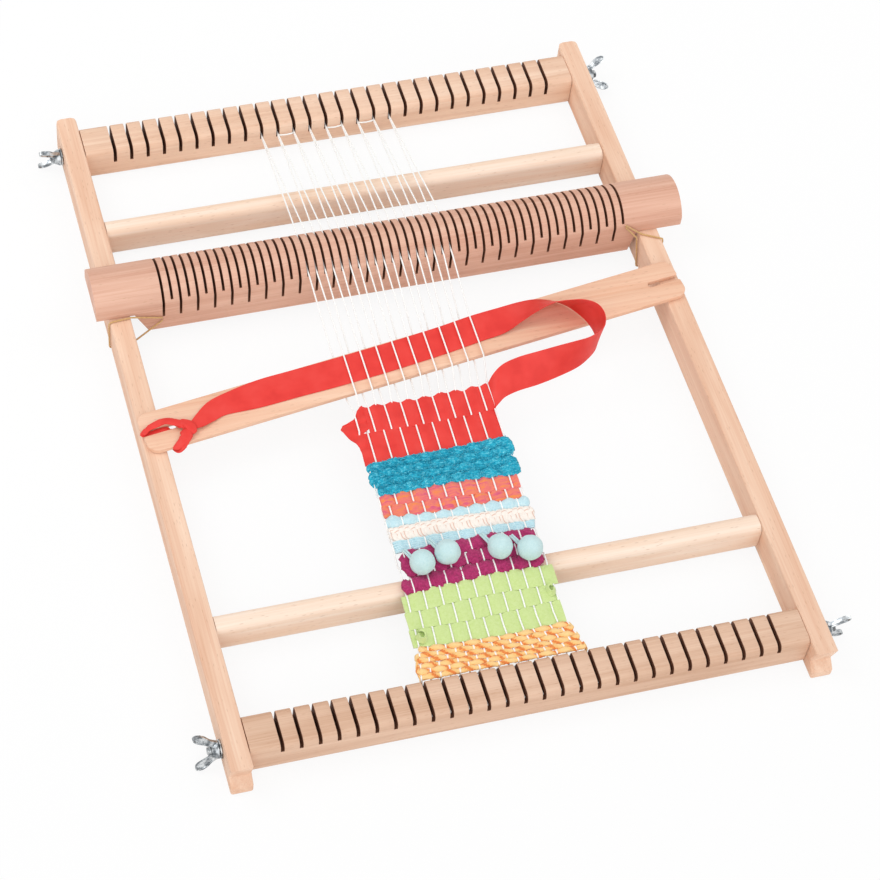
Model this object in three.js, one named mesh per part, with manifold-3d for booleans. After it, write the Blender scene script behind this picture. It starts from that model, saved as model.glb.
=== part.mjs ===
// Frame loom with a turning heddle bar, a stick shuttle and a started weaving.
// Millimetres. +X is the weaver's right, +Y runs from the weaver to the back beam, +Z is up.
// The origin lies on the table, midway between the rails and midway along them.
import * as THREE from 'three';
import { mergeGeometries, mergeVertices } from 'three/addons/utils/BufferGeometryUtils.js';
import Module from 'manifold-3d';

const wasm = await Module();
wasm.setup();

// Clearances
const seatGap = 0.3;
const turningGap = 0.3;
const rowGap = 0.4;

// Rails
const railLength = 580;
const railWidth = 15.5;
const railHeight = 27;
const railEase = 1.4;
const railBackCorner = 4;
const railNoseSetback = 2;
const railNotchDepth = 6.5;
const railNotchHeight = 11.5;
const railLipHeight = 6;
const innerWidth = 386.6;

// Cross bars
const barDepth = 15;
const barHeight = 25;
const barRound = 5.5;
const frontBarInset = 114.5;
const backBarInset = 111.5;

// Dowels between rails and cross bars
const dowelRadius = 3;
const dowelInRail = 9;
const dowelInBar = 15;
const dowelSpread = 11;

// Warp beams and their kerfs
const beamDepth = 29;
const beamHeight = 27;
const beamRound = 5;
const beamEndGap = 0.4;
const frontBeamInset = 27.5;
const backBeamInset = 25.5;
const kerfPitch = 12.7;
const kerfEndMargin = 21.6;
const kerfWidth = 2.2;
const frontKerfShallow = 7;
const frontKerfDeep = 14.5;
const backKerfShallow = 12;
const backKerfDeep = 18;
const backKerfShift = 0.85;

// Hanger bolts, washers and wing nuts
const boltRadius = 3;
const boltInBeam = 18;
const boltChamfer = 0.8;
const washerRadius = 6.6;
const washerThickness = 1.2;
const hubRadius = 6.2;
const hubTopRadius = 4.6;
const hubHeight = 5;
const boltProud = 3;
const wingThickness = 2.6;
const wingReach = 13.2;
const wingRise = 16.6;
const wingAngles = { front_left: 64, front_right: 96, back_left: 110, back_right: 36 };

// Heddle bar, a round-topped bar half-lapped over the rails
const heddleShare = 0.3576;
const heddleRadius = 23.4;
const heddleHalfDepth = 21.3;
const heddleCentreDrop = 2;
const heddleBodyDrop = 19.5;
const heddleLeftOverhang = 9.2;
const heddleRightOverhang = 18.2;
const heddleLeftSetback = 3.3;
const heddleRightSetback = 0.7;
const leftShoulderSlant = 9;
const rightShoulderSlant = 3.8;
const shoulderSlantHeight = 17;
const heddleKerfPitch = kerfPitch / 2;
const heddleKerfShift = 6.2;
const heddleKerfWidth = 1.9;
const longKerfFloor = -6;
const shortKerfFloor = 10.5;

// Elastic bands round the rails
const bandRadius = 0.7;
const bandGrooveDepth = 2.2;
const bandGrooveWidth = 5;
const bandReach = 12.5;

// Stick shuttle
const shuttleOverRail = 16.2;
const shuttleWidth = 34;
const shuttleThickness = 3.8;
const shuttleCorner = 8;
const shuttleNotchWidth = 4.5;
const shuttleNotchDepth = 25;
const shuttleTurn = 7.86;
const shuttleFromFront = 301.6;

// Warp
const threadRadius = 0.6;
const threadCount = 18;
const heddleKerfsToWarp = 10.5;
const frontKerfsToWarp = 5.5;
const backKerfsToWarp = 4.5;
const layerOffset = 2.2;
const threadSides = 6;

// Weft
const feltThickness = 2.6;
const ribbonThickness = 0.8;
const ribbonTieWidth = 6;
const pompomRadius = 9.3;

// Faces and axes that follow from the sizes above
const front = -railLength / 2;
const back = railLength / 2;
const innerFace = innerWidth / 2;
const outerFace = innerFace + railWidth;
const frontBarY = front + frontBarInset;
const backBarY = back - backBarInset;
const frontBeamY = front + frontBeamInset;
const backBeamY = back - backBeamInset;
const beamAxisZ = railHeight - beamHeight / 2;
const barCentreZ = railHeight / 2;
const kerfCount = Math.floor((innerWidth - 2 * kerfEndMargin) / kerfPitch) + 1;
const heddleKerfCount = 2 * kerfCount;
const lapZ = railHeight + seatGap;
const washerX = outerFace + seatGap;
const nutX = washerX + washerThickness + seatGap;
const boltEndX = nutX + hubHeight + boltProud;
const shuttleY = front + shuttleFromFront;
const shuttleAngle = THREE.MathUtils.degToRad(shuttleTurn);
const shuttleLength = innerWidth + 2 * shuttleOverRail;
const shuttleFarY = shuttleY + (shuttleLength * Math.sin(shuttleAngle) + shuttleWidth) / 2;
const heddleForemostY = shuttleFarY + bandReach + heddleHalfDepth;
const heddleHindmostY = backBarY - barDepth / 2 - heddleHalfDepth;
const heddleY = heddleForemostY + heddleShare * (heddleHindmostY - heddleForemostY);
const heddleLeftEnd = outerFace + heddleLeftOverhang;
const heddleRightEnd = outerFace + heddleRightOverhang;
const heddleLeftShoulder = innerFace - heddleLeftSetback;
const heddleRightShoulder = innerFace - heddleRightSetback;
const shuttleZ = railHeight + seatGap;
const ribbonZ = shuttleZ + shuttleThickness + seatGap + ribbonThickness / 2;

// Curve steps
const roundSides = 16;
const edgeSteps = 1;
const archSteps = 5;
const cornerSteps = 3;
const dowelSides = 12;

// Colours
const beech = 0xe3b999;
const paleBeech = 0xeccba6;
const pinkBeech = 0xdfae96;
const zinc = 0xb9bcb9;
const white = 0xf4f2ec;
const red = 0xe0403a;

const loom = new THREE.Group();

function add(name, geometry, color, roughness = 0.7, metalness = 0) {
  const mesh = new THREE.Mesh(geometry, new THREE.MeshStandardMaterial({ color, roughness, metalness }));
  mesh.name = name;
  loom.add(mesh);
  return mesh;
}

// Booleans
function closed(geometry) {
  const bare = geometry.index ? geometry.toNonIndexed() : geometry.clone();
  bare.deleteAttribute('normal');
  bare.deleteAttribute('uv');
  return mergeVertices(bare, 1e-4);
}

function solidOf(geometry) {
  const merged = closed(geometry);
  const vertProperties = new Float32Array(merged.attributes.position.array);
  const triVerts = new Uint32Array(merged.index.array);
  return new wasm.Manifold(new wasm.Mesh({ numProp: 3, vertProperties, triVerts }));
}

function geometryOf(solid) {
  const mesh = solid.getMesh();
  const geometry = new THREE.BufferGeometry();
  geometry.setAttribute('position', new THREE.BufferAttribute(new Float32Array(mesh.vertProperties), 3));
  geometry.setIndex(new THREE.BufferAttribute(new Uint32Array(mesh.triVerts), 1));
  return geometry;
}

function cut(geometry, ...tools) {
  const tool = solidOf(mergeGeometries(tools.map(closed)));
  return geometryOf(solidOf(geometry).subtract(tool));
}

function join(geometry, other) {
  return geometryOf(solidOf(geometry).add(solidOf(other)));
}

// Extrusions: a section in the Y-Z plane runs along X, one in the X-Z plane runs along Y
function extruded(shape, depth, curveSegments = edgeSteps) {
  return new THREE.ExtrudeGeometry(shape, { depth, bevelEnabled: false, curveSegments });
}

function alongX(shape, fromX, toX, curveSegments) {
  const basis = new THREE.Matrix4().makeBasis(
    new THREE.Vector3(0, 1, 0), new THREE.Vector3(0, 0, 1), new THREE.Vector3(1, 0, 0));
  return extruded(shape, toX - fromX, curveSegments).applyMatrix4(basis).translate(fromX, 0, 0);
}

function alongY(shape, fromY, toY, curveSegments) {
  const basis = new THREE.Matrix4().makeBasis(
    new THREE.Vector3(1, 0, 0), new THREE.Vector3(0, 0, 1), new THREE.Vector3(0, -1, 0));
  return extruded(shape, toY - fromY, curveSegments).applyMatrix4(basis).translate(0, toY, 0);
}

function outline(points) {
  return new THREE.Shape(points.map(([x, y]) => new THREE.Vector2(x, y)));
}

function roundedRectangle(centreX, centreY, width, height, radius) {
  const right = centreX + width / 2;
  const left = centreX - width / 2;
  const top = centreY + height / 2;
  const bottom = centreY - height / 2;
  const shape = new THREE.Shape();
  shape.moveTo(right, bottom + radius);
  shape.absarc(right - radius, top - radius, radius, 0, Math.PI / 2, false);
  shape.absarc(left + radius, top - radius, radius, Math.PI / 2, Math.PI, false);
  shape.absarc(left + radius, bottom + radius, radius, Math.PI, Math.PI * 1.5, false);
  shape.absarc(right - radius, bottom + radius, radius, Math.PI * 1.5, Math.PI * 2, false);
  return shape;
}

function rodAlongX(radius, fromX, toX, y, z, sides = roundSides) {
  return new THREE.CylinderGeometry(radius, radius, toX - fromX, sides)
    .rotateZ(Math.PI / 2).translate((fromX + toX) / 2, y, z);
}

// A tube whose rings stand at the route's own points
class Route extends THREE.Curve {
  constructor(points) {
    super();
    this.points = points.map((point) => new THREE.Vector3(...point));
  }

  getPoint(t, target = new THREE.Vector3()) {
    const place = t * (this.points.length - 1);
    const index = Math.min(Math.floor(place + 1e-9), this.points.length - 2);
    return target.lerpVectors(this.points[index], this.points[index + 1], place - index);
  }

  getPointAt(u, target) {
    return this.getPoint(u, target);
  }

  getTangentAt(u, target = new THREE.Vector3()) {
    const last = this.points.length - 1;
    const index = Math.round(u * last);
    const before = this.points[Math.max(index - 1, 0)];
    const after = this.points[Math.min(index + 1, last)];
    return target.subVectors(after, before).normalize();
  }
}

function tube(points, radius, sides) {
  const section = new THREE.Shape();
  for (let side = 0; side < sides; side += 1) {
    const angle = (side / sides) * Math.PI * 2;
    const x = radius * Math.cos(angle);
    const y = radius * Math.sin(angle);
    if (side === 0) section.moveTo(x, y);
    else section.lineTo(x, y);
  }
  return new THREE.ExtrudeGeometry(section, { steps: points.length - 1, extrudePath: new Route(points) });
}

// A flat strip through stations of [centre, half-width vector]
function strip(stations, thickness) {
  const positions = [];
  const index = [];
  stations.forEach(([centre, across], place) => {
    const middle = new THREE.Vector3(...centre);
    const side = new THREE.Vector3(...across);
    const ahead = new THREE.Vector3(...stations[Math.min(place + 1, stations.length - 1)][0]);
    const behind = new THREE.Vector3(...stations[Math.max(place - 1, 0)][0]);
    const normal = ahead.sub(behind).cross(side).normalize().multiplyScalar(thickness / 2);
    for (const [s, n] of [[-1, -1], [1, -1], [1, 1], [-1, 1]]) {
      positions.push(...middle.clone().addScaledVector(side, s).addScaledVector(normal, n).toArray());
    }
  });
  for (let place = 0; place < stations.length - 1; place += 1) {
    for (let corner = 0; corner < 4; corner += 1) {
      const a = place * 4 + corner;
      const b = place * 4 + (corner + 1) % 4;
      index.push(a, b, a + 4, b, b + 4, a + 4);
    }
  }
  const end = (stations.length - 1) * 4;
  index.push(0, 2, 1, 0, 3, 2, end, end + 1, end + 2, end, end + 2, end + 3);
  const geometry = new THREE.BufferGeometry();
  geometry.setAttribute('position', new THREE.Float32BufferAttribute(positions, 3));
  geometry.setIndex(index);
  return geometry;
}

// Rails
function railBlank(side) {
  const nose = front + railNoseSetback;
  const notch = nose + railNotchDepth - railNoseSetback;
  const sideView = outline([
    [front, 0], [back, 0], [back, railHeight], [nose, railHeight],
    [notch, railNotchHeight], [front, railLipHeight],
  ]);
  const eased = new THREE.ExtrudeGeometry(sideView, {
    depth: railWidth - 2 * railEase,
    bevelSize: railEase,
    bevelOffset: -railEase,
    bevelThickness: railEase,
    bevelSegments: 2,
  });
  const basis = new THREE.Matrix4().makeBasis(
    new THREE.Vector3(0, 1, 0), new THREE.Vector3(0, 0, 1), new THREE.Vector3(1, 0, 0));
  const low = side > 0 ? innerFace : -outerFace;
  eased.applyMatrix4(basis).translate(low + railEase, 0, 0);
  const high = low + railWidth;
  const plan = new THREE.Shape();
  plan.moveTo(low, front - 1);
  plan.lineTo(high, front - 1);
  plan.lineTo(high, back - railBackCorner);
  plan.absarc(high - railBackCorner, back - railBackCorner, railBackCorner, 0, Math.PI / 2, false);
  plan.absarc(low + railBackCorner, back - railBackCorner, railBackCorner, Math.PI / 2, Math.PI, false);
  const planSolid = extruded(plan, railHeight + 2).translate(0, 0, -1);
  return geometryOf(solidOf(eased).intersect(solidOf(planSolid)));
}

function dowelPlaces(barY) {
  return [-1, 1].map((level) => ({ y: barY, z: barCentreZ + level * dowelSpread / 2 }));
}

const bandRoutes = { left: leftBandRoute(), right: rightBandRoute() };

function rail(name, side) {
  const low = side > 0 ? innerFace : -outerFace;
  const throughLow = low - 1;
  const throughHigh = low + railWidth + 1;
  const holes = [frontBeamY, backBeamY].map((y) => rodAlongX(
    boltRadius + turningGap, throughLow, throughHigh, y, beamAxisZ));
  for (const { y, z } of [...dowelPlaces(frontBarY), ...dowelPlaces(backBarY)]) {
    const depth = dowelInRail + seatGap;
    const inner = side * innerFace;
    holes.push(rodAlongX(dowelRadius + seatGap, Math.min(inner - side, inner + side * depth),
      Math.max(inner - side, inner + side * depth), y, z, dowelSides));
  }
  const grooveY = (side > 0 ? bandRoutes.right : bandRoutes.left).grooveY;
  const groove = new THREE.BoxGeometry(railWidth + 2, bandGrooveWidth, bandGrooveDepth * 2)
    .translate(low + railWidth / 2, grooveY, 0);
  add(name, cut(railBlank(side), ...holes, groove), beech);
}

// Cross bars with their dowels
function crossBar(name, dowelName, barY) {
  const end = innerFace - seatGap;
  const blank = alongX(roundedRectangle(barY, barCentreZ, barDepth, barHeight, barRound), -end, end);
  const sockets = [];
  const dowels = [];
  for (const side of [-1, 1]) {
    for (const { y, z } of dowelPlaces(barY)) {
      const deep = side * (innerFace - dowelInBar);
      const shallow = side * (innerFace + dowelInRail);
      const socketDeep = deep - side * seatGap;
      const socketEnd = side * (innerFace + 1);
      sockets.push(rodAlongX(dowelRadius + seatGap, Math.min(socketDeep, socketEnd),
        Math.max(socketDeep, socketEnd), y, z, dowelSides));
      dowels.push(rodAlongX(dowelRadius, Math.min(deep, shallow), Math.max(deep, shallow),
        y, z, dowelSides));
    }
  }
  add(name, cut(blank, ...sockets), paleBeech);
  dowels.forEach((dowel, index) => add(`${dowelName}_${index + 1}`, dowel, paleBeech));
}

// Warp beams
function kerfX(index) {
  return (index - (kerfCount - 1) / 2) * kerfPitch;
}

function beam(name, beamY, shallow, deep, shift) {
  const end = innerFace - beamEndGap;
  const blank = alongX(roundedRectangle(beamY, beamAxisZ, beamDepth, beamHeight, beamRound), -end, end);
  const near = beamY - beamDepth / 2;
  const far = beamY + beamDepth / 2;
  const fall = (deep - shallow) / beamDepth;
  const kerfSide = outline([
    [near - 1, railHeight - shallow + fall], [far + 1, railHeight - deep - fall],
    [far + 1, railHeight + 1], [near - 1, railHeight + 1],
  ]);
  const tools = [];
  for (let index = 0; index < kerfCount; index += 1) {
    const x = kerfX(index) + shift;
    tools.push(alongX(kerfSide, x - kerfWidth / 2, x + kerfWidth / 2));
  }
  const boreDepth = boltInBeam + seatGap;
  tools.push(rodAlongX(boltRadius + seatGap, -end - 1, -end + boreDepth, beamY, beamAxisZ));
  tools.push(rodAlongX(boltRadius + seatGap, end - boreDepth, end + 1, beamY, beamAxisZ));
  add(name, cut(blank, ...tools), beech);
}

// Turned pieces stand on z = 0 and point along +Z until they are placed
function turned(profile, sides = roundSides) {
  const points = profile.map(([radius, height]) => new THREE.Vector2(radius, height));
  return new THREE.LatheGeometry(points, sides).rotateX(Math.PI / 2);
}

function placeOut(geometry, side, y, degrees) {
  const angle = THREE.MathUtils.degToRad(degrees);
  const outward = new THREE.Vector3(side, 0, 0);
  const wing = new THREE.Vector3(0, Math.cos(angle), Math.sin(angle));
  const third = new THREE.Vector3().crossVectors(outward, wing);
  const basis = new THREE.Matrix4().makeBasis(wing, third, outward);
  return geometry.applyMatrix4(basis).translate(0, y, beamAxisZ);
}

function hangerBolt(name, side, y) {
  const start = innerFace - beamEndGap - boltInBeam;
  const rod = turned([
    [0, start], [boltRadius - boltChamfer, start], [boltRadius, start + boltChamfer],
    [boltRadius, boltEndX - boltChamfer], [boltRadius - boltChamfer, boltEndX], [0, boltEndX],
  ]);
  add(name, placeOut(rod, side, y, 0), zinc, 0.35, 0.9);
}

function washer(name, side, y) {
  const bore = boltRadius + turningGap;
  const ring = turned([
    [bore, washerX], [washerRadius, washerX], [washerRadius, washerX + washerThickness],
    [bore, washerX + washerThickness], [bore, washerX],
  ], 20);
  add(name, placeOut(ring, side, y, 0), zinc, 0.35, 0.9);
}

function wingNut(name, side, y, degrees) {
  const bore = boltRadius + turningGap;
  const root = bore + 0.25;
  let nut = turned([
    [bore, 0], [hubRadius, 0], [hubRadius, hubHeight * 0.25], [hubTopRadius, hubHeight],
    [bore, hubHeight], [bore, 0],
  ]);
  const ear = outline([
    [root, hubHeight * 0.1], [hubRadius, hubHeight * 0.1], [wingReach * 0.62, wingRise * 0.3],
    [wingReach * 0.97, wingRise * 0.66], [wingReach, wingRise * 0.84], [wingReach * 0.9, wingRise],
    [wingReach * 0.7, wingRise * 0.98], [wingReach * 0.44, wingRise * 0.58], [root, hubHeight * 0.95],
  ]);
  const plate = extruded(ear, wingThickness).translate(0, 0, -wingThickness / 2).rotateX(Math.PI / 2);
  for (const turn of [0, Math.PI]) {
    nut = join(nut, plate.clone().rotateZ(turn));
  }
  add(name, placeOut(nut.translate(0, 0, nutX), side, y, degrees), zinc, 0.35, 0.9);
}

// Heddle bar
function heddleKerfX(index) {
  return (index - (heddleKerfCount - 1) / 2) * heddleKerfPitch + heddleKerfShift;
}

function lapCutter(side, end, shoulder, slant) {
  const below = lapZ - heddleBodyDrop - 2;
  const slantEnd = shoulder - slant * (lapZ - below) / shoulderSlantHeight;
  const shape = outline([
    [side * (end + 1), below], [side * (end + 1), lapZ], [side * shoulder, lapZ], [side * slantEnd, below],
  ]);
  return alongY(shape, heddleY - heddleHalfDepth - 1, heddleY + heddleHalfDepth + 1);
}

function heddleBar() {
  const centreZ = railHeight - heddleCentreDrop;
  const bottom = lapZ - heddleBodyDrop;
  const spring = Math.acos(heddleHalfDepth / heddleRadius);
  const section = new THREE.Shape();
  section.moveTo(heddleY - heddleHalfDepth, bottom);
  section.lineTo(heddleY + heddleHalfDepth, bottom);
  section.absarc(heddleY, centreZ, heddleRadius, spring, Math.PI - spring, false);
  const blank = alongX(section, -heddleLeftEnd, heddleRightEnd, archSteps);
  const top = centreZ + heddleRadius + 1;
  const near = heddleY - heddleHalfDepth;
  const far = heddleY + heddleHalfDepth;
  const tools = [
    lapCutter(-1, heddleLeftEnd, heddleLeftShoulder, leftShoulderSlant),
    lapCutter(1, heddleRightEnd, heddleRightShoulder, rightShoulderSlant),
  ];
  for (let index = 0; index < heddleKerfCount; index += 1) {
    const frontFloor = railHeight + (index % 2 === 0 ? longKerfFloor : shortKerfFloor);
    const backFloor = railHeight + (index % 2 === 0 ? shortKerfFloor : longKerfFloor);
    const rise = (backFloor - frontFloor) / (2 * heddleHalfDepth);
    const kerfSide = outline([
      [near - 1, frontFloor - rise], [far + 1, backFloor + rise], [far + 1, top], [near - 1, top],
    ]);
    const x = heddleKerfX(index);
    tools.push(alongX(kerfSide, x - heddleKerfWidth / 2, x + heddleKerfWidth / 2));
  }
  add('heddle_bar', cut(blank, ...tools), pinkBeech);
}

// Elastic bands, each a loop from an end kerf's foot round the rail and back
function bandLevels() {
  const off = seatGap + bandRadius;
  return {
    bar: heddleY - heddleHalfDepth - off,
    top: railHeight + off,
    out: outerFace + off,
    inside: innerFace - off,
    under: bandGrooveDepth / 2,
  };
}

function leftBandRoute() {
  const { bar, top, out, inside, under } = bandLevels();
  const eye = heddleKerfX(0);
  const points = [
    [eye - 0.6, bar, railHeight + longKerfFloor - 0.3],
    [-inside + 3.5, bar - 0.8, top - 1.2],
    [-inside - 0.6, bar - 1, top],
    [-outerFace + 2.5, bar - 2, top],
    [-out + 0.6, bar - 2.4, top - 0.6],
    [-out, bar - 2.6, top - 3],
    [-out, bar - 3.4, under + 2],
    [-out + 0.5, bar - 3.6, under + 0.5],
    [-out + 2, bar - 3.7, under],
    [-inside - 1.6, bar - 4, under],
    [-inside - 0.3, bar - 4, under + 0.7],
    [-inside + 0.3, bar - 3.9, under + 2.4],
    [eye - 0.6, bar - 0.1, railHeight + longKerfFloor - 2.2],
  ];
  return { points, grooveY: bar - 3.9 };
}

function rightBandRoute() {
  const { bar, top, out, inside, under } = bandLevels();
  const eye = heddleKerfX(heddleKerfCount - 1);
  const points = [
    [eye + 0.6, bar, railHeight + shortKerfFloor + 0.6],
    [inside - 0.5, bar - 1.2, top + 1.6],
    [inside + 3.5, bar - 3, top],
    [outerFace - 2.5, bar - 8.6, top],
    [out - 0.6, bar - 9.6, top - 0.6],
    [out, bar - 9.8, top - 3],
    [out, bar - 10.6, under + 2],
    [out - 0.5, bar - 10.7, under + 0.5],
    [out - 2, bar - 10.7, under],
    [inside + 1.6, bar - 10.6, under],
    [inside + 0.3, bar - 10.6, under + 0.7],
    [inside - 0.2, bar - 10.4, under + 2.4],
    [inside - 0.2, bar - 7, railHeight / 2],
    [inside - 0.8, bar - 3, railHeight - 2],
    [eye + 0.9, bar - 0.2, railHeight + shortKerfFloor - 1.4],
  ];
  return { points, grooveY: bar - 10.7 };
}

// Stick shuttle, lying across the rails in the open shed
function inShuttle(along, across, z = 0) {
  return [
    along * Math.cos(shuttleAngle) - across * Math.sin(shuttleAngle),
    shuttleY + along * Math.sin(shuttleAngle) + across * Math.cos(shuttleAngle),
    z,
  ];
}

function shuttle() {
  const shape = roundedRectangle(0, 0, shuttleLength, shuttleWidth, shuttleCorner);
  const slotEnd = shuttleLength / 2 - shuttleNotchDepth + shuttleNotchWidth / 2;
  const half = shuttleNotchWidth / 2;
  const slot = new THREE.Shape();
  slot.moveTo(shuttleLength / 2 + 1, -half);
  slot.lineTo(shuttleLength / 2 + 1, half);
  slot.absarc(slotEnd, 0, half, Math.PI / 2, Math.PI * 1.5, false);
  const tool = extruded(slot, shuttleThickness + 2, cornerSteps).translate(0, 0, -1);
  const blade = cut(extruded(shape, shuttleThickness, cornerSteps), tool, tool.clone().rotateZ(Math.PI));
  blade.rotateZ(shuttleAngle).translate(0, shuttleY, shuttleZ);
  add('shuttle', blade, paleBeech);
}

// Ribbon tied round one prong of the shuttle's left notch
const tieStart = -shuttleLength / 2 + shuttleNotchDepth - shuttleNotchWidth / 2 - seatGap - ribbonTieWidth;

function ribbonTie() {
  const prongInner = -shuttleNotchWidth / 2;
  const prongOuter = -shuttleWidth / 2;
  const low = shuttleZ - seatGap - ribbonThickness;
  const high = shuttleZ + shuttleThickness + seatGap + ribbonThickness;
  const out = seatGap + ribbonThickness;
  const ring = outline([
    [prongOuter - out, low], [prongInner + out, low], [prongInner + out, high], [prongOuter - out, high],
  ]);
  ring.holes.push(new THREE.Path([
    [prongOuter - seatGap, low + ribbonThickness], [prongInner + seatGap, low + ribbonThickness],
    [prongInner + seatGap, high - ribbonThickness], [prongOuter - seatGap, high - ribbonThickness],
  ].map(([x, y]) => new THREE.Vector2(x, y))));
  const loop = alongX(ring, tieStart, tieStart + ribbonTieWidth);
  loop.rotateZ(shuttleAngle).translate(0, shuttleY, 0);
  add('ribbon_tie', loop, red, 0.9);
}

// Heights of the weaving: level behind the front cross bar, falling to the front beam before it
const barTop = barCentreZ + barHeight / 2;
const weaveZ = barTop + seatGap + threadRadius + layerOffset;
const weaveKneeY = frontBarY - barDepth / 2;
const weaveStartY = frontBeamY + beamDepth / 2 + 1.5;
const weaveStartZ = railHeight - frontKerfShallow + threadRadius + layerOffset + 1.4;
const fellY = front + 268;

function weaveHeight(y) {
  if (y >= weaveKneeY) return weaveZ;
  const share = (y - weaveStartY) / (weaveKneeY - weaveStartY);
  return weaveStartZ + share * (weaveZ - weaveStartZ);
}

// Threads run at their own X at each station along the loom
function threadX(index, leftX, rightX) {
  return leftX + (rightX - leftX) * index / (threadCount - 1);
}

const yarnY = front + 68;

function firstKerf(count, kerfsToWarp) {
  return Math.round((count - 1) / 2 - kerfsToWarp);
}

function threadPath(index) {
  const upper = index % 2 === 1;
  const layer = upper ? layerOffset : -layerOffset;
  const frontX = kerfX(firstKerf(kerfCount, frontKerfsToWarp) + Math.floor((index + 1) / 2));
  const backX = kerfX(firstKerf(kerfCount, backKerfsToWarp) + Math.floor(index / 2)) + backKerfShift;
  const heddleX = heddleKerfX(firstKerf(heddleKerfCount, heddleKerfsToWarp) + index);
  const turn = Math.tan(shuttleAngle);
  const bladeHalf = shuttleWidth / 2 / Math.cos(shuttleAngle);
  const shedX = threadX(index, -59.5, 45);
  const bladeY = shuttleY + shedX * turn;
  const over = ribbonZ + ribbonThickness / 2 + seatGap + threadRadius;
  const under = shuttleZ - seatGap - threadRadius;
  const shedZ = upper ? over : under;
  const stack = upper ? 1.6 : 0;
  const kerfFace = frontBeamY - beamDepth / 2;
  const backNear = backBeamY - beamDepth / 2;
  const backFar = backBeamY + beamDepth / 2;
  const heddleZ = railHeight + shortKerfFloor + threadRadius + 0.4;
  return [
    [frontX, kerfFace + 4, railHeight - frontKerfShallow + threadRadius + stack - 0.4],
    [frontX, weaveStartY, weaveStartZ + layer],
    [threadX(index, -64.8, 36.4), yarnY, weaveHeight(yarnY) + layer],
    [threadX(index, -63.2, 37.1), weaveKneeY, weaveZ + layer],
    [threadX(index, -59, 40.3), fellY - 16, weaveZ + layer],
    [threadX(index, -59.2, 41), fellY, weaveZ + layer],
    [shedX, bladeY - bladeHalf - 2, shedZ],
    [shedX, bladeY + bladeHalf + 2, shedZ + (upper ? 0.6 : 0)],
    [heddleX, heddleY - heddleHalfDepth - 1.2, heddleZ],
    [heddleX, heddleY + heddleHalfDepth + 1.2, heddleZ + 3.5],
    [backX, backNear - 1, railHeight - backKerfShallow + threadRadius + 0.4 + stack],
    [backX, backFar - 1, railHeight - backKerfDeep + threadRadius + 0.8 + stack],
  ];
}

// Neighbouring threads are one yarn that turns round a tooth of the back beam
function warp() {
  const face = backBeamY + beamDepth / 2 + seatGap + threadRadius;
  const yarns = [threadPath(0)];
  for (let index = 1; index < threadCount - 1; index += 2) {
    const going = threadPath(index);
    const coming = threadPath(index + 1).reverse();
    const [fromX, , fromZ] = going.at(-1);
    const [toX, , toZ] = coming[0];
    const loop = [
      [fromX + 0.3, face - 0.2, fromZ], [fromX + 1.6, face + 0.3, fromZ - 0.2],
      [toX - 1.6, face + 0.3, toZ + 0.2], [toX - 0.3, face - 0.2, toZ],
    ];
    yarns.push([...going, ...loop, ...coming]);
  }
  yarns.push(threadPath(threadCount - 1));
  yarns.forEach((points, index) => {
    add(`warp_${index + 1}`, tube(points, threadRadius, threadSides), white, 0.9);
  });
}

// A weft lies between the two thread layers and follows their height. Its rows are one strand that
// turns back at the edges, so slits from the edges part them. A slit is [fromX, fromY, toX, toY].
function woven(points, slits = []) {
  const plan = outline(points.map(([x, y]) => [x, y + front]));
  let flat = extruded(plan, feltThickness);
  if (slits.length > 0) {
    const tools = slits.map(([fromX, fromY, toX, toY]) => extruded(outline([
      [fromX, front + fromY - rowGap / 2], [toX, front + toY - rowGap / 2],
      [toX, front + toY + rowGap / 2], [fromX, front + fromY + rowGap / 2],
    ]), feltThickness + 2).translate(0, 0, -1));
    flat = cut(flat, ...tools);
  }
  const place = flat.attributes.position;
  for (let index = 0; index < place.count; index += 1) {
    const lift = weaveHeight(place.getY(index)) - feltThickness / 2;
    place.setZ(index, place.getZ(index) + lift);
  }
  return flat;
}

// A band of weft by the two ends of its front edge and of its back edge
function band(frontLeft, frontRight, backRight, backLeft, slits) {
  const half = rowGap / 2;
  return woven([
    [frontLeft[0], frontLeft[1] + half], [frontRight[0], frontRight[1] + half],
    [backRight[0], backRight[1] - half], [backLeft[0], backLeft[1] - half],
  ], slits);
}

function weaving() {
  add('red_rows', woven([
    [-63, 214.7], [39, 218.7], [41, 244], [40, 262], [37, 266],
    [-51, 266], [-63, 258], [-72, 248.5], [-54, 242],
  ], [[-46, 242.8, 50, 242.8]]), red, 0.95);
  add('teal_row', band([-63, 187.6], [41, 185], [42, 218.5], [-61, 214.5]), 0x1a9fb5, 0.95);
  add('coral_rows', band([-61, 168.8], [37, 165.6], [39, 185], [-60.5, 187.6],
    [[-52, 177.8, 50, 175.2]]), 0xee7a68, 0.95);
  add('pale_blue_row', band([-62, 162.5], [41, 157.2], [40, 165.6], [-61.5, 168.8]), 0xbcdde0, 0.95);
  add('cream_braid', band([-62, 151], [41, 145.2], [41, 157.2], [-62, 162.5]), 0xf1e6da, 0.95);
  add('pompom_cord', band([-62, 141.8], [38, 140], [40, 145.2], [-62, 151]), 0xbcdde0, 0.95);
  add('magenta_row', band([-67.5, 107.5], [38, 110.5], [40, 140], [-60, 141.8]), 0xb3205f, 0.95);
  add('green_rows', band([-68, 68.2], [40, 68.2], [41, 104], [-67, 104],
    [[-80, 92, 33, 92], [-60, 80, 60, 80]]), 0xc3d88a, 0.95);
  add('yellow_rows', band([-72, 44.2], [46, 44.2], [39, 68.2], [-69, 68.2],
    [[-80, 60, 30, 60], [-61, 52, 60, 52]]), 0xf2c276, 0.95);
}

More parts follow.
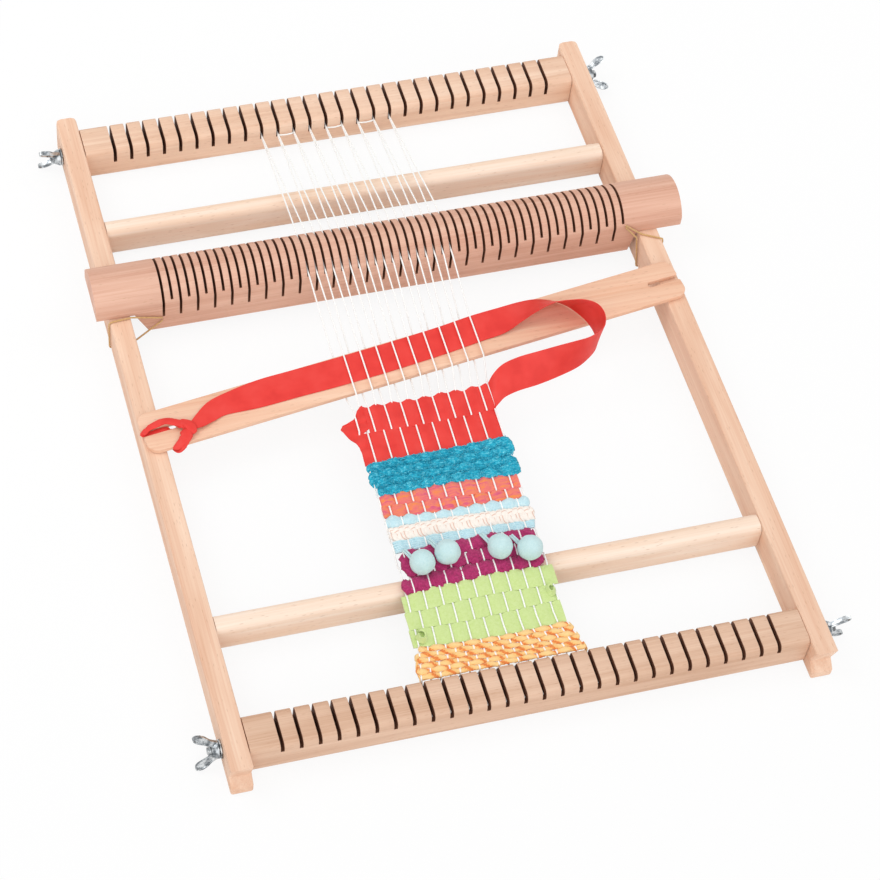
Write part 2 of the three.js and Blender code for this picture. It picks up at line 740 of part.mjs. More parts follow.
// Pompoms lie flat-bottomed on the threads in front of their cord
function pompoms() {
  const flatZ = weaveZ + layerOffset + threadRadius + seatGap;
  const drop = pompomRadius * 0.6;
  const start = Math.asin(-drop / pompomRadius);
  const steps = 7;
  const profile = [[0, -drop]];
  for (let step = 0; step <= steps; step += 1) {
    const angle = start + (Math.PI / 2 - start) * step / steps;
    profile.push([step === steps ? 0 : pompomRadius * Math.cos(angle), pompomRadius * Math.sin(angle)]);
  }
  const places = [[-47.6, 124.2], [-28.6, 128.4], [7.6, 125.3], [27.3, 119.8]];
  places.forEach(([x, fromFront], index) => {
    const ball = turned(profile, 14).translate(x, front + fromFront, flatZ + drop);
    add(`pompom_${index + 1}`, ball, 0xcfe6e6, 0.95);
  });
}

// Free stretch of the red ribbon: along the shuttle, round in a loop and into the first row
function redRibbon() {
  const flat = (along, across, half, turn) => {
    const angle = THREE.MathUtils.degToRad(shuttleTurn + turn);
    return [inShuttle(along, across, ribbonZ), [-half * Math.sin(angle), half * Math.cos(angle), 0]];
  };
  const stations = [
    flat(tieStart + 19, -1, 5, 50),
    flat(tieStart + 33, 6, 8, 40),
    flat(tieStart + 53, 6, 10.5, 10),
    flat(-90, 2, 12, 0),
    flat(-40, 3, 12, 0),
    flat(20, 4, 12, 0),
    flat(60, 6, 12, 2),
    flat(84, 8, 11, 4),
    [[104, front + 324, ribbonZ + 5.5], [-1.5, 7.5, 5]],
    [[122, front + 324, ribbonZ + 7.5], [1.5, 4, 7]],
    [[136, front + 314, ribbonZ + 7.8], [3.5, 1.2, 7]],
    [[139, front + 300, ribbonZ + 7.2], [4, -1, 6.5]],
    [[128, front + 287, ribbonZ + 5.5], [4, -6, 5]],
    [[108, front + 276, ribbonZ + 2.5], [4, -9.5, 2.5]],
    [[84, front + 265.5, ribbonZ], [3, -11, 0]],
    [[62, front + 258, ribbonZ - 1.4], [2, -11.4, 0]],
    [[43, front + 254.5, weaveZ], [0, -11.4, 0]],
  ];
  add('red_ribbon', strip(stations, ribbonThickness), red, 0.95);
}

rail('left_rail', -1);
rail('right_rail', 1);
crossBar('front_cross_bar', 'front_bar_dowel', frontBarY);
crossBar('back_cross_bar', 'back_bar_dowel', backBarY);
beam('front_beam', frontBeamY, frontKerfShallow, frontKerfDeep, 0);
beam('back_beam', backBeamY, backKerfShallow, backKerfDeep, backKerfShift);
for (const [end, y] of [['front', frontBeamY], ['back', backBeamY]]) {
  for (const [hand, side] of [['left', -1], ['right', 1]]) {
    hangerBolt(`${end}_${hand}_bolt`, side, y);
    washer(`${end}_${hand}_washer`, side, y);
    wingNut(`${end}_${hand}_wing_nut`, side, y, wingAngles[`${end}_${hand}`]);
  }
}
heddleBar();
add('left_band', tube(bandRoutes.left.points, bandRadius, 6), 0xc9a77c, 0.6);
add('right_band', tube(bandRoutes.right.points, bandRadius, 6), 0xc9a77c, 0.6);
shuttle();
ribbonTie();
redRibbon();
warp();
weaving();
pompoms();

export default loom;
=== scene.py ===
import math
import random

import bmesh
import bpy
from mathutils import Matrix, Vector, noise


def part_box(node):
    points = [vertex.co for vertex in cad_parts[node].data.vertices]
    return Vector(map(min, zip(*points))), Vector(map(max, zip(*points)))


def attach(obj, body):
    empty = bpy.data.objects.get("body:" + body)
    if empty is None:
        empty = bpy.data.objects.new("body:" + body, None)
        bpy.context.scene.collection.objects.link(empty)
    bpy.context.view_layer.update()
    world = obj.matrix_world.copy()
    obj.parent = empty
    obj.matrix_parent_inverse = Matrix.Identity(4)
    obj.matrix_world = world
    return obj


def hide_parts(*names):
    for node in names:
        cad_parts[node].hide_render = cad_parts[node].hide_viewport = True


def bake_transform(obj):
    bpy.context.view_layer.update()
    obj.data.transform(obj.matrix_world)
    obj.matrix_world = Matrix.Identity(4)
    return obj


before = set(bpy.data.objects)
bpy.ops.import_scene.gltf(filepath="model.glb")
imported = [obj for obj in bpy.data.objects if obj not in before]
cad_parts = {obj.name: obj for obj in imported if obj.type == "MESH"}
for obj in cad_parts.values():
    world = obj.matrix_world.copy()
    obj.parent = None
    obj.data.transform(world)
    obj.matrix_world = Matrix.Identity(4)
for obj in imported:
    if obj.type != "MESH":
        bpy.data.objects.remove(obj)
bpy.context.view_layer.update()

# The photograph's view
# A long lens looks down on the loom from the weaver's left, with the loom
# to the right of the lens axis, so the view is shifted and not turned. Its
# numbers are a fit's own.
def placed(name, data):
    """A new object in the scene."""
    made = bpy.data.objects.new(name, data)
    bpy.context.scene.collection.objects.link(made)
    return made


camera_data = bpy.data.cameras.new("camera")
camera_data.sensor_width = 36.0
camera_data.lens = 101.486
camera_data.shift_x = 0.17859
camera_data.shift_y = 0.15529
camera_data.clip_start = 0.05
camera_data.dof.use_dof = False
camera = placed("camera", camera_data)
camera.location = (-0.41719, -1.02152, 1.42526)
camera.rotation_euler = [math.radians(turn) for turn in (33.10771, -2.36154, -14.02794)]
bpy.context.scene.camera = camera
bpy.context.scene.view_settings.view_transform = "Standard"

# Floor and light
# A white paper sweep under soft boxes: white to the camera and in the metal's
# reflections, and still dark enough under the loom to keep a faint shadow.
def linear(hex_colour):
    """An sRGB hex colour as linear RGBA."""
    values = [int(hex_colour[at:at + 2], 16) / 255 for at in (1, 3, 5)]
    return [v / 12.92 if v <= 0.04045 else ((v + 0.055) / 1.055) ** 2.4 for v in values] + [1.0]


def node(tree, kind, inputs=None, stops=(), **settings):
    """One shader node with its settings and colour stops. An input is a value, a socket, or a node
    whose first output is meant."""
    made = tree.nodes.new("ShaderNode" + kind)
    for name, value in settings.items():
        setattr(made, name, value)
    if stops:
        elements = made.color_ramp.elements
        while len(elements) < len(stops):
            elements.new(0.5)
        for element, (position, colour) in zip(elements, stops):
            element.position = position
            element.color = linear(colour)
    for socket, value in (inputs or {}).items():
        if isinstance(value, bpy.types.Node):
            value = value.outputs[0]
        if isinstance(value, bpy.types.NodeSocket):
            tree.links.new(value, made.inputs[socket])
        else:
            made.inputs[socket].default_value = value
    return made


def blank_material(name):
    """A material and its empty node tree."""
    material = bpy.data.materials.new(name)
    material.use_nodes = True
    material.node_tree.nodes.clear()
    return material, material.node_tree


def seen_directly(tree):
    """1 where the camera, a mirror or clear glass looks at the white surround."""
    path = node(tree, "LightPath")
    seen = node(tree, "Math", {0: path.outputs["Is Camera Ray"], 1: path.outputs["Is Glossy Ray"]},
                operation="MAXIMUM")
    return node(tree, "Math", {0: seen, 1: path.outputs["Is Transmission Ray"]}, operation="MAXIMUM")


sweep = bpy.data.meshes.new("sweep")
floor = placed("sweep", sweep)
shell = bmesh.new()
paper_half, paper_drop = 6.0, 0.0004
bmesh.ops.create_grid(shell, x_segments=1, y_segments=1, size=paper_half)
bmesh.ops.translate(shell, vec=(0, 0, -paper_drop), verts=shell.verts)
shell.to_mesh(sweep)
shell.free()

# Matt white paper: it shows as pure white, and its matt part holds the shadow.
paper, tree = blank_material("white_paper_sweep")
matt = node(tree, "BsdfDiffuse", {"Color": linear("#f4f4f4")})
glow = node(tree, "Emission", {"Color": linear("#ffffff"), "Strength": 1.0})
glow_share = 0.88
share = node(tree, "Math", {0: seen_directly(tree), 1: glow_share}, operation="MULTIPLY")
mixed = node(tree, "MixShader", {0: share, 1: matt, 2: glow})
node(tree, "OutputMaterial", {"Surface": mixed})
sweep.materials.append(paper)

world = bpy.data.worlds.new("studio")
bpy.context.scene.world = world
world.use_nodes = True
tree = world.node_tree
tree.nodes.clear()
fill_light, white = 0.55, 1.0
strength = node(tree, "MapRange", {0: seen_directly(tree), 3: fill_light, 4: white})
sky = node(tree, "Background", {"Color": linear("#ffffff"), "Strength": strength})
node(tree, "OutputWorld", {"Surface": sky})

for name, place, size, watts in (
        ("soft_box_left", (-1.1, 0.5, 1.5), 1.1, 10.0),
        ("soft_box_right", (1.2, 0.2, 1.6), 1.6, 7.0)):
    lamp_data = bpy.data.lights.new(name, "AREA")
    lamp_data.size = size
    lamp_data.energy = watts
    lamp = placed(name, lamp_data)
    lamp.location = place
    lamp.rotation_euler = (-Vector(place)).to_track_quat("-Z", "Y").to_euler()
front_data = bpy.data.lights.new("broad_front_light", "SUN")
front_data.angle = math.radians(70)
front_data.energy = 1.15
front_light = placed("broad_front_light", front_data)
front_light.rotation_euler = Vector((0.12, 1.0, -0.75)).to_track_quat("-Z", "Y").to_euler()


# Side rails
# Two lengths of oiled beech, 15.5 by 27 mm and 580 mm long, stand on edge. Their
# corners are sanded; the front end is notched, and a hole takes each beam's bolt.
def beech(name, along, pale, dark, offset):
    """Planed beech under thin clear oil, with its grain along one axis, 0 for X or 1 for Y."""
    material, tree = blank_material(name)
    # Beech gives a warm pinkish cream, soft grain bands 10 mm apart, the short brown flecks of
    # its rays every 1.6 mm, and a low sheen. Its fibres are finer than the 0.9 mm drawn here,
    # which is as coarse as they need to be to show.
    bands_a_metre, fibres_a_metre, flecks_a_metre = 95.0, 1100.0, 620.0
    place = node(tree, "TexCoord").outputs["Object"]
    moved = node(tree, "Mapping", {"Vector": place, "Location": (offset, offset * 0.7, offset * 1.3)})
    stretch = [1.0, 1.0, 1.0]
    stretch[along] = 0.06
    drawn = node(tree, "Mapping", {"Vector": moved, "Scale": stretch})
    bands = node(tree, "TexNoise", {"Vector": drawn, "Scale": bands_a_metre, "Detail": 3.0, "Roughness": 0.5,
                                    "Distortion": 0.6})
    wood = node(tree, "ValToRGB", {"Fac": bands}, [(0.3, dark), (0.7, pale)])
    stretch[along] = 0.012
    fine = node(tree, "Mapping", {"Vector": moved, "Scale": stretch})
    fibres = node(tree, "TexNoise", {"Vector": fine, "Scale": fibres_a_metre, "Detail": 2.0})
    lined = node(tree, "Mix", {"Factor": 0.42, "A": wood, "B": fibres}, data_type="RGBA",
                 blend_type="SOFT_LIGHT")
    stretch[along] = 0.16
    short = node(tree, "Mapping", {"Vector": moved, "Scale": stretch})
    rays = node(tree, "TexVoronoi", {"Vector": short, "Scale": flecks_a_metre, "Randomness": 1.0})
    fleck = node(tree, "MapRange", {0: rays.outputs["Distance"], 1: 0.06, 2: 0.2, 3: 0.48, 4: 0.0})
    flecked = node(tree, "Mix", {"Factor": fleck, "A": lined.outputs["Result"], "B": linear("#b98a68")},
                   data_type="RGBA")
    sheen = node(tree, "MapRange", {0: fibres, 3: 0.5, 4: 0.66})
    grain = node(tree, "Bump", {"Height": fibres, "Strength": 0.12, "Distance": 0.0003})
    surface = node(tree, "BsdfPrincipled", {"Base Color": flecked.outputs["Result"], "Roughness": sheen,
                                            "Normal": grain, "IOR": 1.45})
    node(tree, "OutputMaterial", {"Surface": surface})
    return material


def paint(node_name, material):
    """Give a CAD node that keeps its shape its material."""
    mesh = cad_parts[node_name].data
    mesh.materials.clear()
    mesh.materials.append(material)


rail_beech = beech("oiled_beech_rail", 1, "#f3d0b6", "#e1b294", 0.0)
for side in ("left", "right"):
    paint(f"{side}_rail", rail_beech)

# Dowels
# Two 6 mm beech dowels are glued into each end of a cross bar and into its rail,
# out of sight. Their number and size are a guess.
bar_beech = beech("sanded_beech_cross_bar", 0, "#fbe7d5", "#f0cfb4", 0.31)
for end in ("front", "back"):
    for number in range(1, 5):
        paint(f"{end}_bar_dowel_{number}", bar_beech)


# Cross bars
# Two flat bars of pale beech, planed round at their four long corners, hold
# the rails apart.
def mesh_of(shape, name):
    """A mesh from a bmesh, which is freed."""
    bmesh.ops.recalc_face_normals(shape, faces=shape.faces)
    mesh = bpy.data.meshes.new(name)
    shape.to_mesh(mesh)
    shape.free()
    return mesh


def finished(name, shape, material, body, slot, *replaced, sharp=35.0):
    """Put a finished shape or mesh on its body, with its material and the nodes it stands for."""
    mesh = mesh_of(shape, name) if isinstance(shape, bmesh.types.BMesh) else shape
    piece = placed(name, mesh)
    mesh.materials.clear()
    mesh.materials.append(material)
    mesh.polygons.foreach_set("use_smooth", [True] * len(mesh.polygons))
    mesh.set_sharp_from_angle(angle=math.radians(sharp))
    if body:
        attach(piece, body)
    if replaced:
        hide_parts(*replaced)
    return piece


def box_shape(low, high):
    """A box between two corners."""
    shape = bmesh.new()
    bmesh.ops.create_cube(shape, size=1.0)
    bmesh.ops.scale(shape, vec=high - low, verts=shape.verts)
    bmesh.ops.translate(shape, vec=(high + low) / 2, verts=shape.verts)
    return shape


def round_long_edges(shape, along, radius, segments):
    """Round the edges that run along one axis."""
    edges = [e for e in shape.edges
             if abs((e.verts[1].co - e.verts[0].co).normalized()[along]) > 0.99]
    bmesh.ops.bevel(shape, geom=edges, offset=radius, segments=segments, profile=0.5,
                    affect="EDGES", material=-1)


bar_corner_radius = 0.0055
for end in ("front", "back"):
    low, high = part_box(f"{end}_cross_bar")
    shape = box_shape(low, high)
    round_long_edges(shape, 0, bar_corner_radius, 8)
    finished(f"{end}_bar", shape, bar_beech, "frame", "pale_beech", f"{end}_cross_bar")


# Warp beams
# A beech roller at each end, 29 by 27 mm, is sawn across every half inch, and
# sanding has just broken the kerfs' mouths. Their depth shows at the front face;
# that they run deeper behind it is a guess.
def evaluated_mesh(source):
    """The mesh that an object's modifier or curve settings make, in place of the object."""
    bpy.context.view_layer.update()
    mesh = bpy.data.meshes.new_from_object(source.evaluated_get(bpy.context.evaluated_depsgraph_get()))
    bpy.data.objects.remove(source)
    return mesh


def carved(shape, cutters, name):
    """Cut one bmesh out of another, exactly, and give the mesh."""
    blank = placed(name, mesh_of(shape, name))
    tool = placed(f"{name}_tool", mesh_of(cutters, f"{name}_tool"))
    cut = blank.modifiers.new("cut", "BOOLEAN")
    cut.operation = "DIFFERENCE"
    cut.solver = "EXACT"
    cut.object = tool
    mesh = evaluated_mesh(blank)
    bpy.data.objects.remove(tool)
    return mesh


def pulled_out(shape, corners, way):
    """Fill an outline, pull it out into a solid, and give its near and far face."""
    face = shape.faces.new([shape.verts.new(corner) for corner in corners])
    grown = bmesh.ops.extrude_face_region(shape, geom=[face])["geom"]
    moved = [part for part in grown if isinstance(part, bmesh.types.BMVert)]
    bmesh.ops.translate(shape, vec=way, verts=moved)
    return face, [part for part in grown if isinstance(part, bmesh.types.BMFace)][0]


def add_prism(shape, outline, low_x, high_x):
    """Add a solid that runs along X between two places, with its outline in Y and Z."""
    pulled_out(shape, [(low_x, y, z) for y, z in outline], (high_x - low_x, 0, 0))


front_beam_beech = beech("oiled_beech_front_beam", 0, "#e4c0a6", "#cea487", 0.57)
back_beam_beech = beech("oiled_beech_back_beam", 0, "#efcdb4", "#ddb396", 0.69)

# The kerf walls and floors are dark brown, mottled every 3 mm: mostly painted shade for the deep, narrow cuts, and
# partly the scorch of the saw blade's heat.
kerf_painted_shade, tree = blank_material("kerf_painted_shade_beech")
kerf_mottle = node(tree, "TexNoise", {"Vector": node(tree, "TexCoord").outputs["Object"], "Scale": 350.0,
                               "Detail": 3.0})
shade = node(tree, "ValToRGB", {"Fac": kerf_mottle}, [(0.3, "#5c3524"), (0.7, "#82543a")])
surface = node(tree, "BsdfPrincipled", {"Base Color": shade, "Roughness": 0.8})
node(tree, "OutputMaterial", {"Surface": surface})


def finish_kerfs(piece, width, break_size):
    """Break the mouths of a bar's kerfs, and paint their walls and floors dark brown: mostly painted shade, partly saw
    scorch.
    """
    mesh = piece.data
    reach = max(abs(v.co.x) for v in mesh.vertices) - 0.01
    shape = bmesh.new()
    shape.from_mesh(mesh)
    mouths = []
    for edge in shape.edges:
        if len(edge.link_faces) == 2 and edge.is_convex and abs(edge.verts[0].co.x) < reach:
            walls = [abs(face.normal.x) > 0.99 for face in edge.link_faces]
            if walls[0] != walls[1]:
                mouths.append(edge)
    bmesh.ops.bevel(shape, geom=mouths, offset=break_size, segments=2, profile=0.5, affect="EDGES", material=-1,
                    clamp_overlap=True)
    shape.to_mesh(mesh)
    shape.free()
    # The second material is the kerfs' dark brown painted shade.
    mesh.materials.append(kerf_painted_shade)
    for face in mesh.polygons:
        spots = [mesh.vertices[v].co.x for v in face.vertices]
        inside = abs(face.center.x) < reach
        wall = abs(face.normal.x) > 0.99
        floor_face = 0.7 * width < max(spots) - min(spots) < 1.05 * width and face.normal.z > 0.5
        face.material_index = 1 if inside and (wall or floor_face) else 0
    mesh.set_sharp_from_angle(angle=math.radians(35))


kerf_pitch = 0.0127
beam_kerf_width = 0.0025
beam_mouth_break = 0.0004
beam_corner_radius = 0.005
kerf_overrun = 0.001
beam_kerfs = {"front": (0.007, 0.0145, 0.0), "back": (0.012, 0.018, 0.00085)}
for end, (near_depth, far_depth, shift) in beam_kerfs.items():
    low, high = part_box(f"{end}_beam")
    shape = box_shape(low, high)
    round_long_edges(shape, 0, beam_corner_radius, 6)
    fall = (far_depth - near_depth) / (high.y - low.y) * kerf_overrun
    outline = [(low.y - kerf_overrun, high.z - near_depth + fall),
               (high.y + kerf_overrun, high.z - far_depth - fall),
               (high.y + kerf_overrun, high.z + kerf_overrun),
               (low.y - kerf_overrun, high.z + kerf_overrun)]
    cutters = bmesh.new()
    for index in range(28):
        x = (index - 13.5) * kerf_pitch + shift
        add_prism(cutters, outline, x - beam_kerf_width / 2, x + beam_kerf_width / 2)
    beam = finished(f"{end}_roller", carved(shape, cutters, f"{end}_roller"),
                    front_beam_beech if end == "front" else back_beam_beech, f"{end}_beam", "beech", f"{end}_beam")
    finish_kerfs(beam, beam_kerf_width, beam_mouth_break)


# Heddle bar
# A half-round bar of pinker beech, lapped over the rails, is sawn every quarter
# inch. In front, long and short kerfs alternate; behind, where they don't show,
# the long ones are taken to be short and the short ones long.
heddle_beech = beech("oiled_pink_beech_heddle", 0, "#e4b7a0", "#d09c84", 0.83)
heddle_low, heddle_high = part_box("heddle_bar")
heddle_y = (heddle_low.y + heddle_high.y) / 2
heddle_half = (heddle_high.y - heddle_low.y) / 2
heddle_radius = 0.0234
heddle_centre_z = heddle_high.z - heddle_radius
lap_z = 0.0273
rail_top = 0.027
deep_floor, shallow_floor = rail_top - 0.006, rail_top + 0.0105
heddle_kerf_shift = 0.0062
spring = math.acos(heddle_half / heddle_radius)
arch_steps = 26
heddle_kerf_width = 0.0019
heddle_mouth_break = 0.0003
section = [(heddle_low.y, heddle_low.z), (heddle_high.y, heddle_low.z)]
for step in range(arch_steps + 1):
    angle = spring + (math.pi - 2 * spring) * step / arch_steps
    section.append((heddle_y + heddle_radius * math.cos(angle),
                    heddle_centre_z + heddle_radius * math.sin(angle)))
shape = bmesh.new()
add_prism(shape, section, heddle_low.x, heddle_high.x)
cutters = bmesh.new()
for index in range(56):
    x = (index - 27.5) * kerf_pitch / 2 + heddle_kerf_shift
    near, far = (deep_floor, shallow_floor) if index % 2 == 0 else (shallow_floor, deep_floor)
    rise = (far - near) / (2 * heddle_half) * kerf_overrun
    top = heddle_high.z + kerf_overrun
    add_prism(cutters, [(heddle_low.y - kerf_overrun, near - rise), (heddle_high.y + kerf_overrun, far + rise),
                        (heddle_high.y + kerf_overrun, top), (heddle_low.y - kerf_overrun, top)],
              x - heddle_kerf_width / 2, x + heddle_kerf_width / 2)
lap_ends = ((-1, 0.219, 0.190, 0.009), (1, 0.228, 0.1926, 0.0038))
slant_rise = 0.017
below = heddle_low.z - 0.002
for side, end, shoulder, slant in lap_ends:
    foot = shoulder - slant * (lap_z - below) / slant_rise
    lap = bmesh.new()
    pulled_out(lap, [(side * x, heddle_low.y - kerf_overrun, z)
                     for x, z in ((end, below), (end, lap_z), (shoulder, lap_z), (foot, below))],
               (0, 2 * (heddle_half + kerf_overrun), 0))
    cutters.from_mesh(mesh_of(lap, "lap"))
heddle = finished("heddle", carved(shape, cutters, "heddle"), heddle_beech, "heddle_bar", "pink_beech",
                  "heddle_bar")
finish_kerfs(heddle, heddle_kerf_width, heddle_mouth_break)

# Stick shuttle
# A flat stick of beech, 419 by 34 mm and 3.8 mm thick, with a round-ended
# notch in each end and its edges sanded soft.
shuttle_beech = beech("sanded_beech_shuttle", 0, "#f3caae", "#e6b292", 1.21)
shuttle_angle = math.radians(7.86)
shuttle_middle = Vector((0, 0.0116, 0.0273))
shuttle_length = 0.419
shuttle_width = 0.034
shuttle_thickness = 0.0038
notch_width = 0.0045
notch_depth = 0.025
rim_break = 0.0006
to_shuttle = Matrix.Translation(shuttle_middle) @ Matrix.Rotation(shuttle_angle, 4, "Z")


def arc(centre_x, centre_y, radius, start, end, steps):
    """Points on an arc, in a plane."""
    return [(centre_x + radius * math.cos(math.radians(start + (end - start) * k / steps)),
             centre_y + radius * math.sin(math.radians(start + (end - start) * k / steps)))
            for k in range(steps + 1)]


half_x, half_y, prong = shuttle_length / 2, shuttle_width / 2, 0.008
mouth, slot_end = notch_width / 2, shuttle_length / 2 - notch_depth + notch_width / 2
tip = 0.0012
right_half = (arc(half_x - prong, -half_y + prong, prong, -90, 0, 8)
              + arc(half_x - tip, -mouth - tip, tip, 0, 90, 4)
              + arc(slot_end, 0, mouth, 270, 90, 10)
              + arc(half_x - tip, mouth + tip, tip, -90, 0, 4)
              + arc(half_x - prong, half_y - prong, prong, 0, 90, 8))
outline = right_half + [(-x, -y) for x, y in right_half]
shape = bmesh.new()
pulled_out(shape, [(x, y, 0) for x, y in outline], (0, 0, shuttle_thickness))
rims = [e for e in shape.edges if abs(e.verts[0].co.z - e.verts[1].co.z) < 1e-6]
bmesh.ops.bevel(shape, geom=rims, offset=rim_break, segments=3, profile=0.5, affect="EDGES", material=-1)
bmesh.ops.transform(shape, matrix=to_shuttle, verts=shape.verts)
finished("stick_shuttle", shape, shuttle_beech, "shuttle", "pale_beech", "shuttle")

# Weaving: where its threads and rows lie
# Eighteen cotton threads cross the rows; every row passes over one thread
# and under the next, and its neighbour does the reverse. Lengths here are in
# millimetres, and d is a place's distance from the frame's front end.
MM = 0.001
front_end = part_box("left_rail")[0].y / MM
last_thread = 17
left_thread = ((43.5, -69.85), (68, -65), (107, -63), (252, -59), (268, -59))
right_thread = ((43.5, 44.45), (68, 36.5), (107, 37), (252, 40.5), (268, 41))
weave_level = ((43.5, 24), (107, 29))


def between(stops, at):
    """A value on straight lines through stops of (place, value)."""
    if at <= stops[0][0]:
        return stops[0][1]
    for (start, low), (end, high) in zip(stops, stops[1:]):
        if at <= end:
            return low + (high - low) * (at - start) / (end - start)
    return stops[-1][1]


yellow_front = ((-73, 42.5), (46, 42.5))
yellow_back = ((-70, 67), (-42, 65), (-5, 63.5), (40, 65))
green_first = ((-58, 80), (-28, 79), (0, 80), (35, 81.5))
green_second = ((-52, 93), (-25, 95), (0, 95), (28, 94))
magenta_front = ((-67, 105.5), (-46, 109), (-19, 109.5), (0, 111), (37, 109))
magenta_back = ((-62, 140), (-26, 141), (0, 141.5), (37, 140))
cream_front = ((-60, 149.5), (-30, 149.5), (2, 148.5), (39, 146.5))
cream_back = ((-57, 160.5), (-26, 161), (5, 159.5), (39, 158))
coral_front = ((-56, 169.5), (-23, 167), (8, 167), (38, 166))
coral_middle = ((-54, 179), (-26, 178), (4, 176), (32, 175))
coral_back = ((-60, 188), (-20, 189), (9, 188.5), (38, 186))
teal_back = ((-58, 215.5), (-41, 216.5), (-8, 216.5), (15, 217), (40, 218.5))
red_middle = ((-54, 242.5), (-33, 242), (-3, 241.5), (21, 242), (36, 243.5))
red_back = ((-52, 264.5), (-27, 264), (-13, 263.5), (0, 264), (12, 265), (23, 264), (35, 265.5))


def divided(front, back, share):
    """An edge at a share of the way between two edges."""
    places = sorted({x for x, _ in (*front, *back)})
    return tuple((x, between(front, x) * (1 - share) + between(back, x) * share) for x in places)


rows = [(divided(yellow_front, yellow_back, k / 6), divided(yellow_front, yellow_back, (k + 1) / 6), k % 2)
        for k in range(6)]
rows += [(yellow_back, green_first, 0), (green_first, green_second, 1), (green_second, magenta_front, 0)]
rows += [(divided(magenta_front, magenta_back, k / 3), divided(magenta_front, magenta_back, (k + 1) / 3),
          (k + 1) % 2) for k in range(3)]
rows += [(magenta_back, cream_front, 0), (cream_front, cream_back, None), (cream_back, coral_front, 0),
         (coral_front, coral_middle, 1), (coral_middle, coral_back, 0)]
rows += [(divided(coral_back, teal_back, k / 4), divided(coral_back, teal_back, (k + 1) / 4), (k + 1) % 2)
         for k in range(4)]
rows += [(teal_back, red_middle, 1), (red_middle, red_back, 0)]
YELLOW, GREEN, MAGENTA, CORD, CREAM, PALE, CORAL, TEAL, RED = 0, 6, 9, 12, 13, 14, 15, 17, 21


# Warp
# Eighteen threads of white cotton yarn, 1.2 mm thick, run from the front beam
# through the weaving, the shed and the heddle to the back beam. How they start
# and turn behind the teeth is a guess. The stretches in the weaving and in the
# heddle move with what holds them; the others are not attached to any part.
thread_radius = 0.6
float_lift = {YELLOW: 0.55, GREEN: 0.65, MAGENTA: 1.3, CORD: 0.75, CREAM: 1.9, PALE: 0.75, CORAL: 0.75, TEAL: 0.1,
              RED: 0.45}
under_lift = {YELLOW: 1.5, GREEN: 1.0, MAGENTA: 1.6, CORD: 1.3, CREAM: 1.6, PALE: 1.5, CORAL: 1.2, TEAL: 1.6,
              RED: 0.45}
over_braid = (8, 12)
over_fold, under_fold = 2.3, -1.7
cross_most = 0.9


def lift_in_row(number, index):
    """How far a thread lies above or below the middle of a row."""
    seen = rows[index][2]
    kind = max(first for first in float_lift if first <= index)
    if seen is None:
        return float_lift[kind] if number in over_braid else -under_lift[kind]
    if number == 0 and index >= RED:
        return over_fold if index == RED + 1 else under_fold
    if number == 1 and index == RED + 1:
        return under_fold
    return float_lift[kind] if number % 2 == seen else -under_lift[kind]


def thread_in_weave(number):
    """A thread's points from the front of the first row to the last one's back."""
    share = number / last_thread
    points = []
    for index, (front, back, _) in enumerate(rows):
        x = 0.0
        for _ in range(3):
            d = between(front, x)
            x = between(left_thread, d) * (1 - share) + between(right_thread, d) * share
        low, high = between(front, x), between(back, x)
        lift = lift_in_row(number, index)
        cross = min(0.22, cross_most / (high - low))
        for part in (cross, 0.5, 1 - cross):
            d = low + (high - low) * part
            x = between(left_thread, d) * (1 - share) + between(right_thread, d) * share
            points.append((x, front_end + d, between(weave_level, d) + lift * (1.0 if part == 0.5 else 0.85)))
    return points


front_kerfs, back_kerfs, heddle_kerfs = (28, 12.7, 0), (28, 12.7, 0.85), (56, 6.35, 6.2)


def kerf_x(index, count, pitch, shift):
    """Where one of a row of kerfs lies across the loom."""
    return (index - (count - 1) / 2) * pitch + shift


shed_slope = math.tan(shuttle_angle)
blade_half = shuttle_width / 2 / math.cos(shuttle_angle) / MM
stick_top = (shuttle_middle.z + shuttle_thickness) / MM
heddle_front, heddle_back = heddle_low.y / MM, heddle_high.y / MM


def thread_points(number):
    """A whole thread's points from the front beam to the far side of the back beam."""
    upper = number % 2 == 1
    stack = 1.4 if upper else 0.0
    front_x = kerf_x(8 + (number + 1) // 2, *front_kerfs)
    back_x = kerf_x(9 + number // 2, *back_kerfs)
    heddle_x = kerf_x(17 + number, *heddle_kerfs)
    shed_x = -59.5 + 104.5 * number / last_thread
    blade_y = shuttle_middle.y / MM + shed_x * shed_slope
    z = stick_top + 2.0 if upper else shuttle_middle.z / MM - 0.95
    woven = thread_in_weave(number)
    return ([(front_x, -273, 19.9 + stack), (front_x, -258, 16.4 + stack), (front_x, -247.5, 16.8 + stack),
             (woven[0][0], -247.3, 21.0 + stack / 2)] + woven
            + [(shed_x, blade_y - blade_half - 2, z), (shed_x, blade_y + blade_half + 2, z + (0.6 if upper else 0)),
               (heddle_x, heddle_front - 1.2, 38.5), (heddle_x, heddle_back + 1.2, 42.0),
               (back_x, 249, 16.4 + stack), (back_x, 278, 11.0 + stack)])


def tube_mesh(name, runs, radius, resolution):
    """One mesh of thin round tubes along runs of points in millimetres."""
    curve = bpy.data.curves.new(name, "CURVE")
    curve.dimensions = "3D"
    curve.bevel_depth = radius * MM
    curve.bevel_resolution = resolution
    curve.use_fill_caps = True
    for run in runs:
        spline = curve.splines.new("POLY")
        spline.points.add(len(run) - 1)
        for point, spot in zip(spline.points, run):
            point.co = (*(spot * MM), 1.0)
    return evaluated_mesh(placed(name, curve))


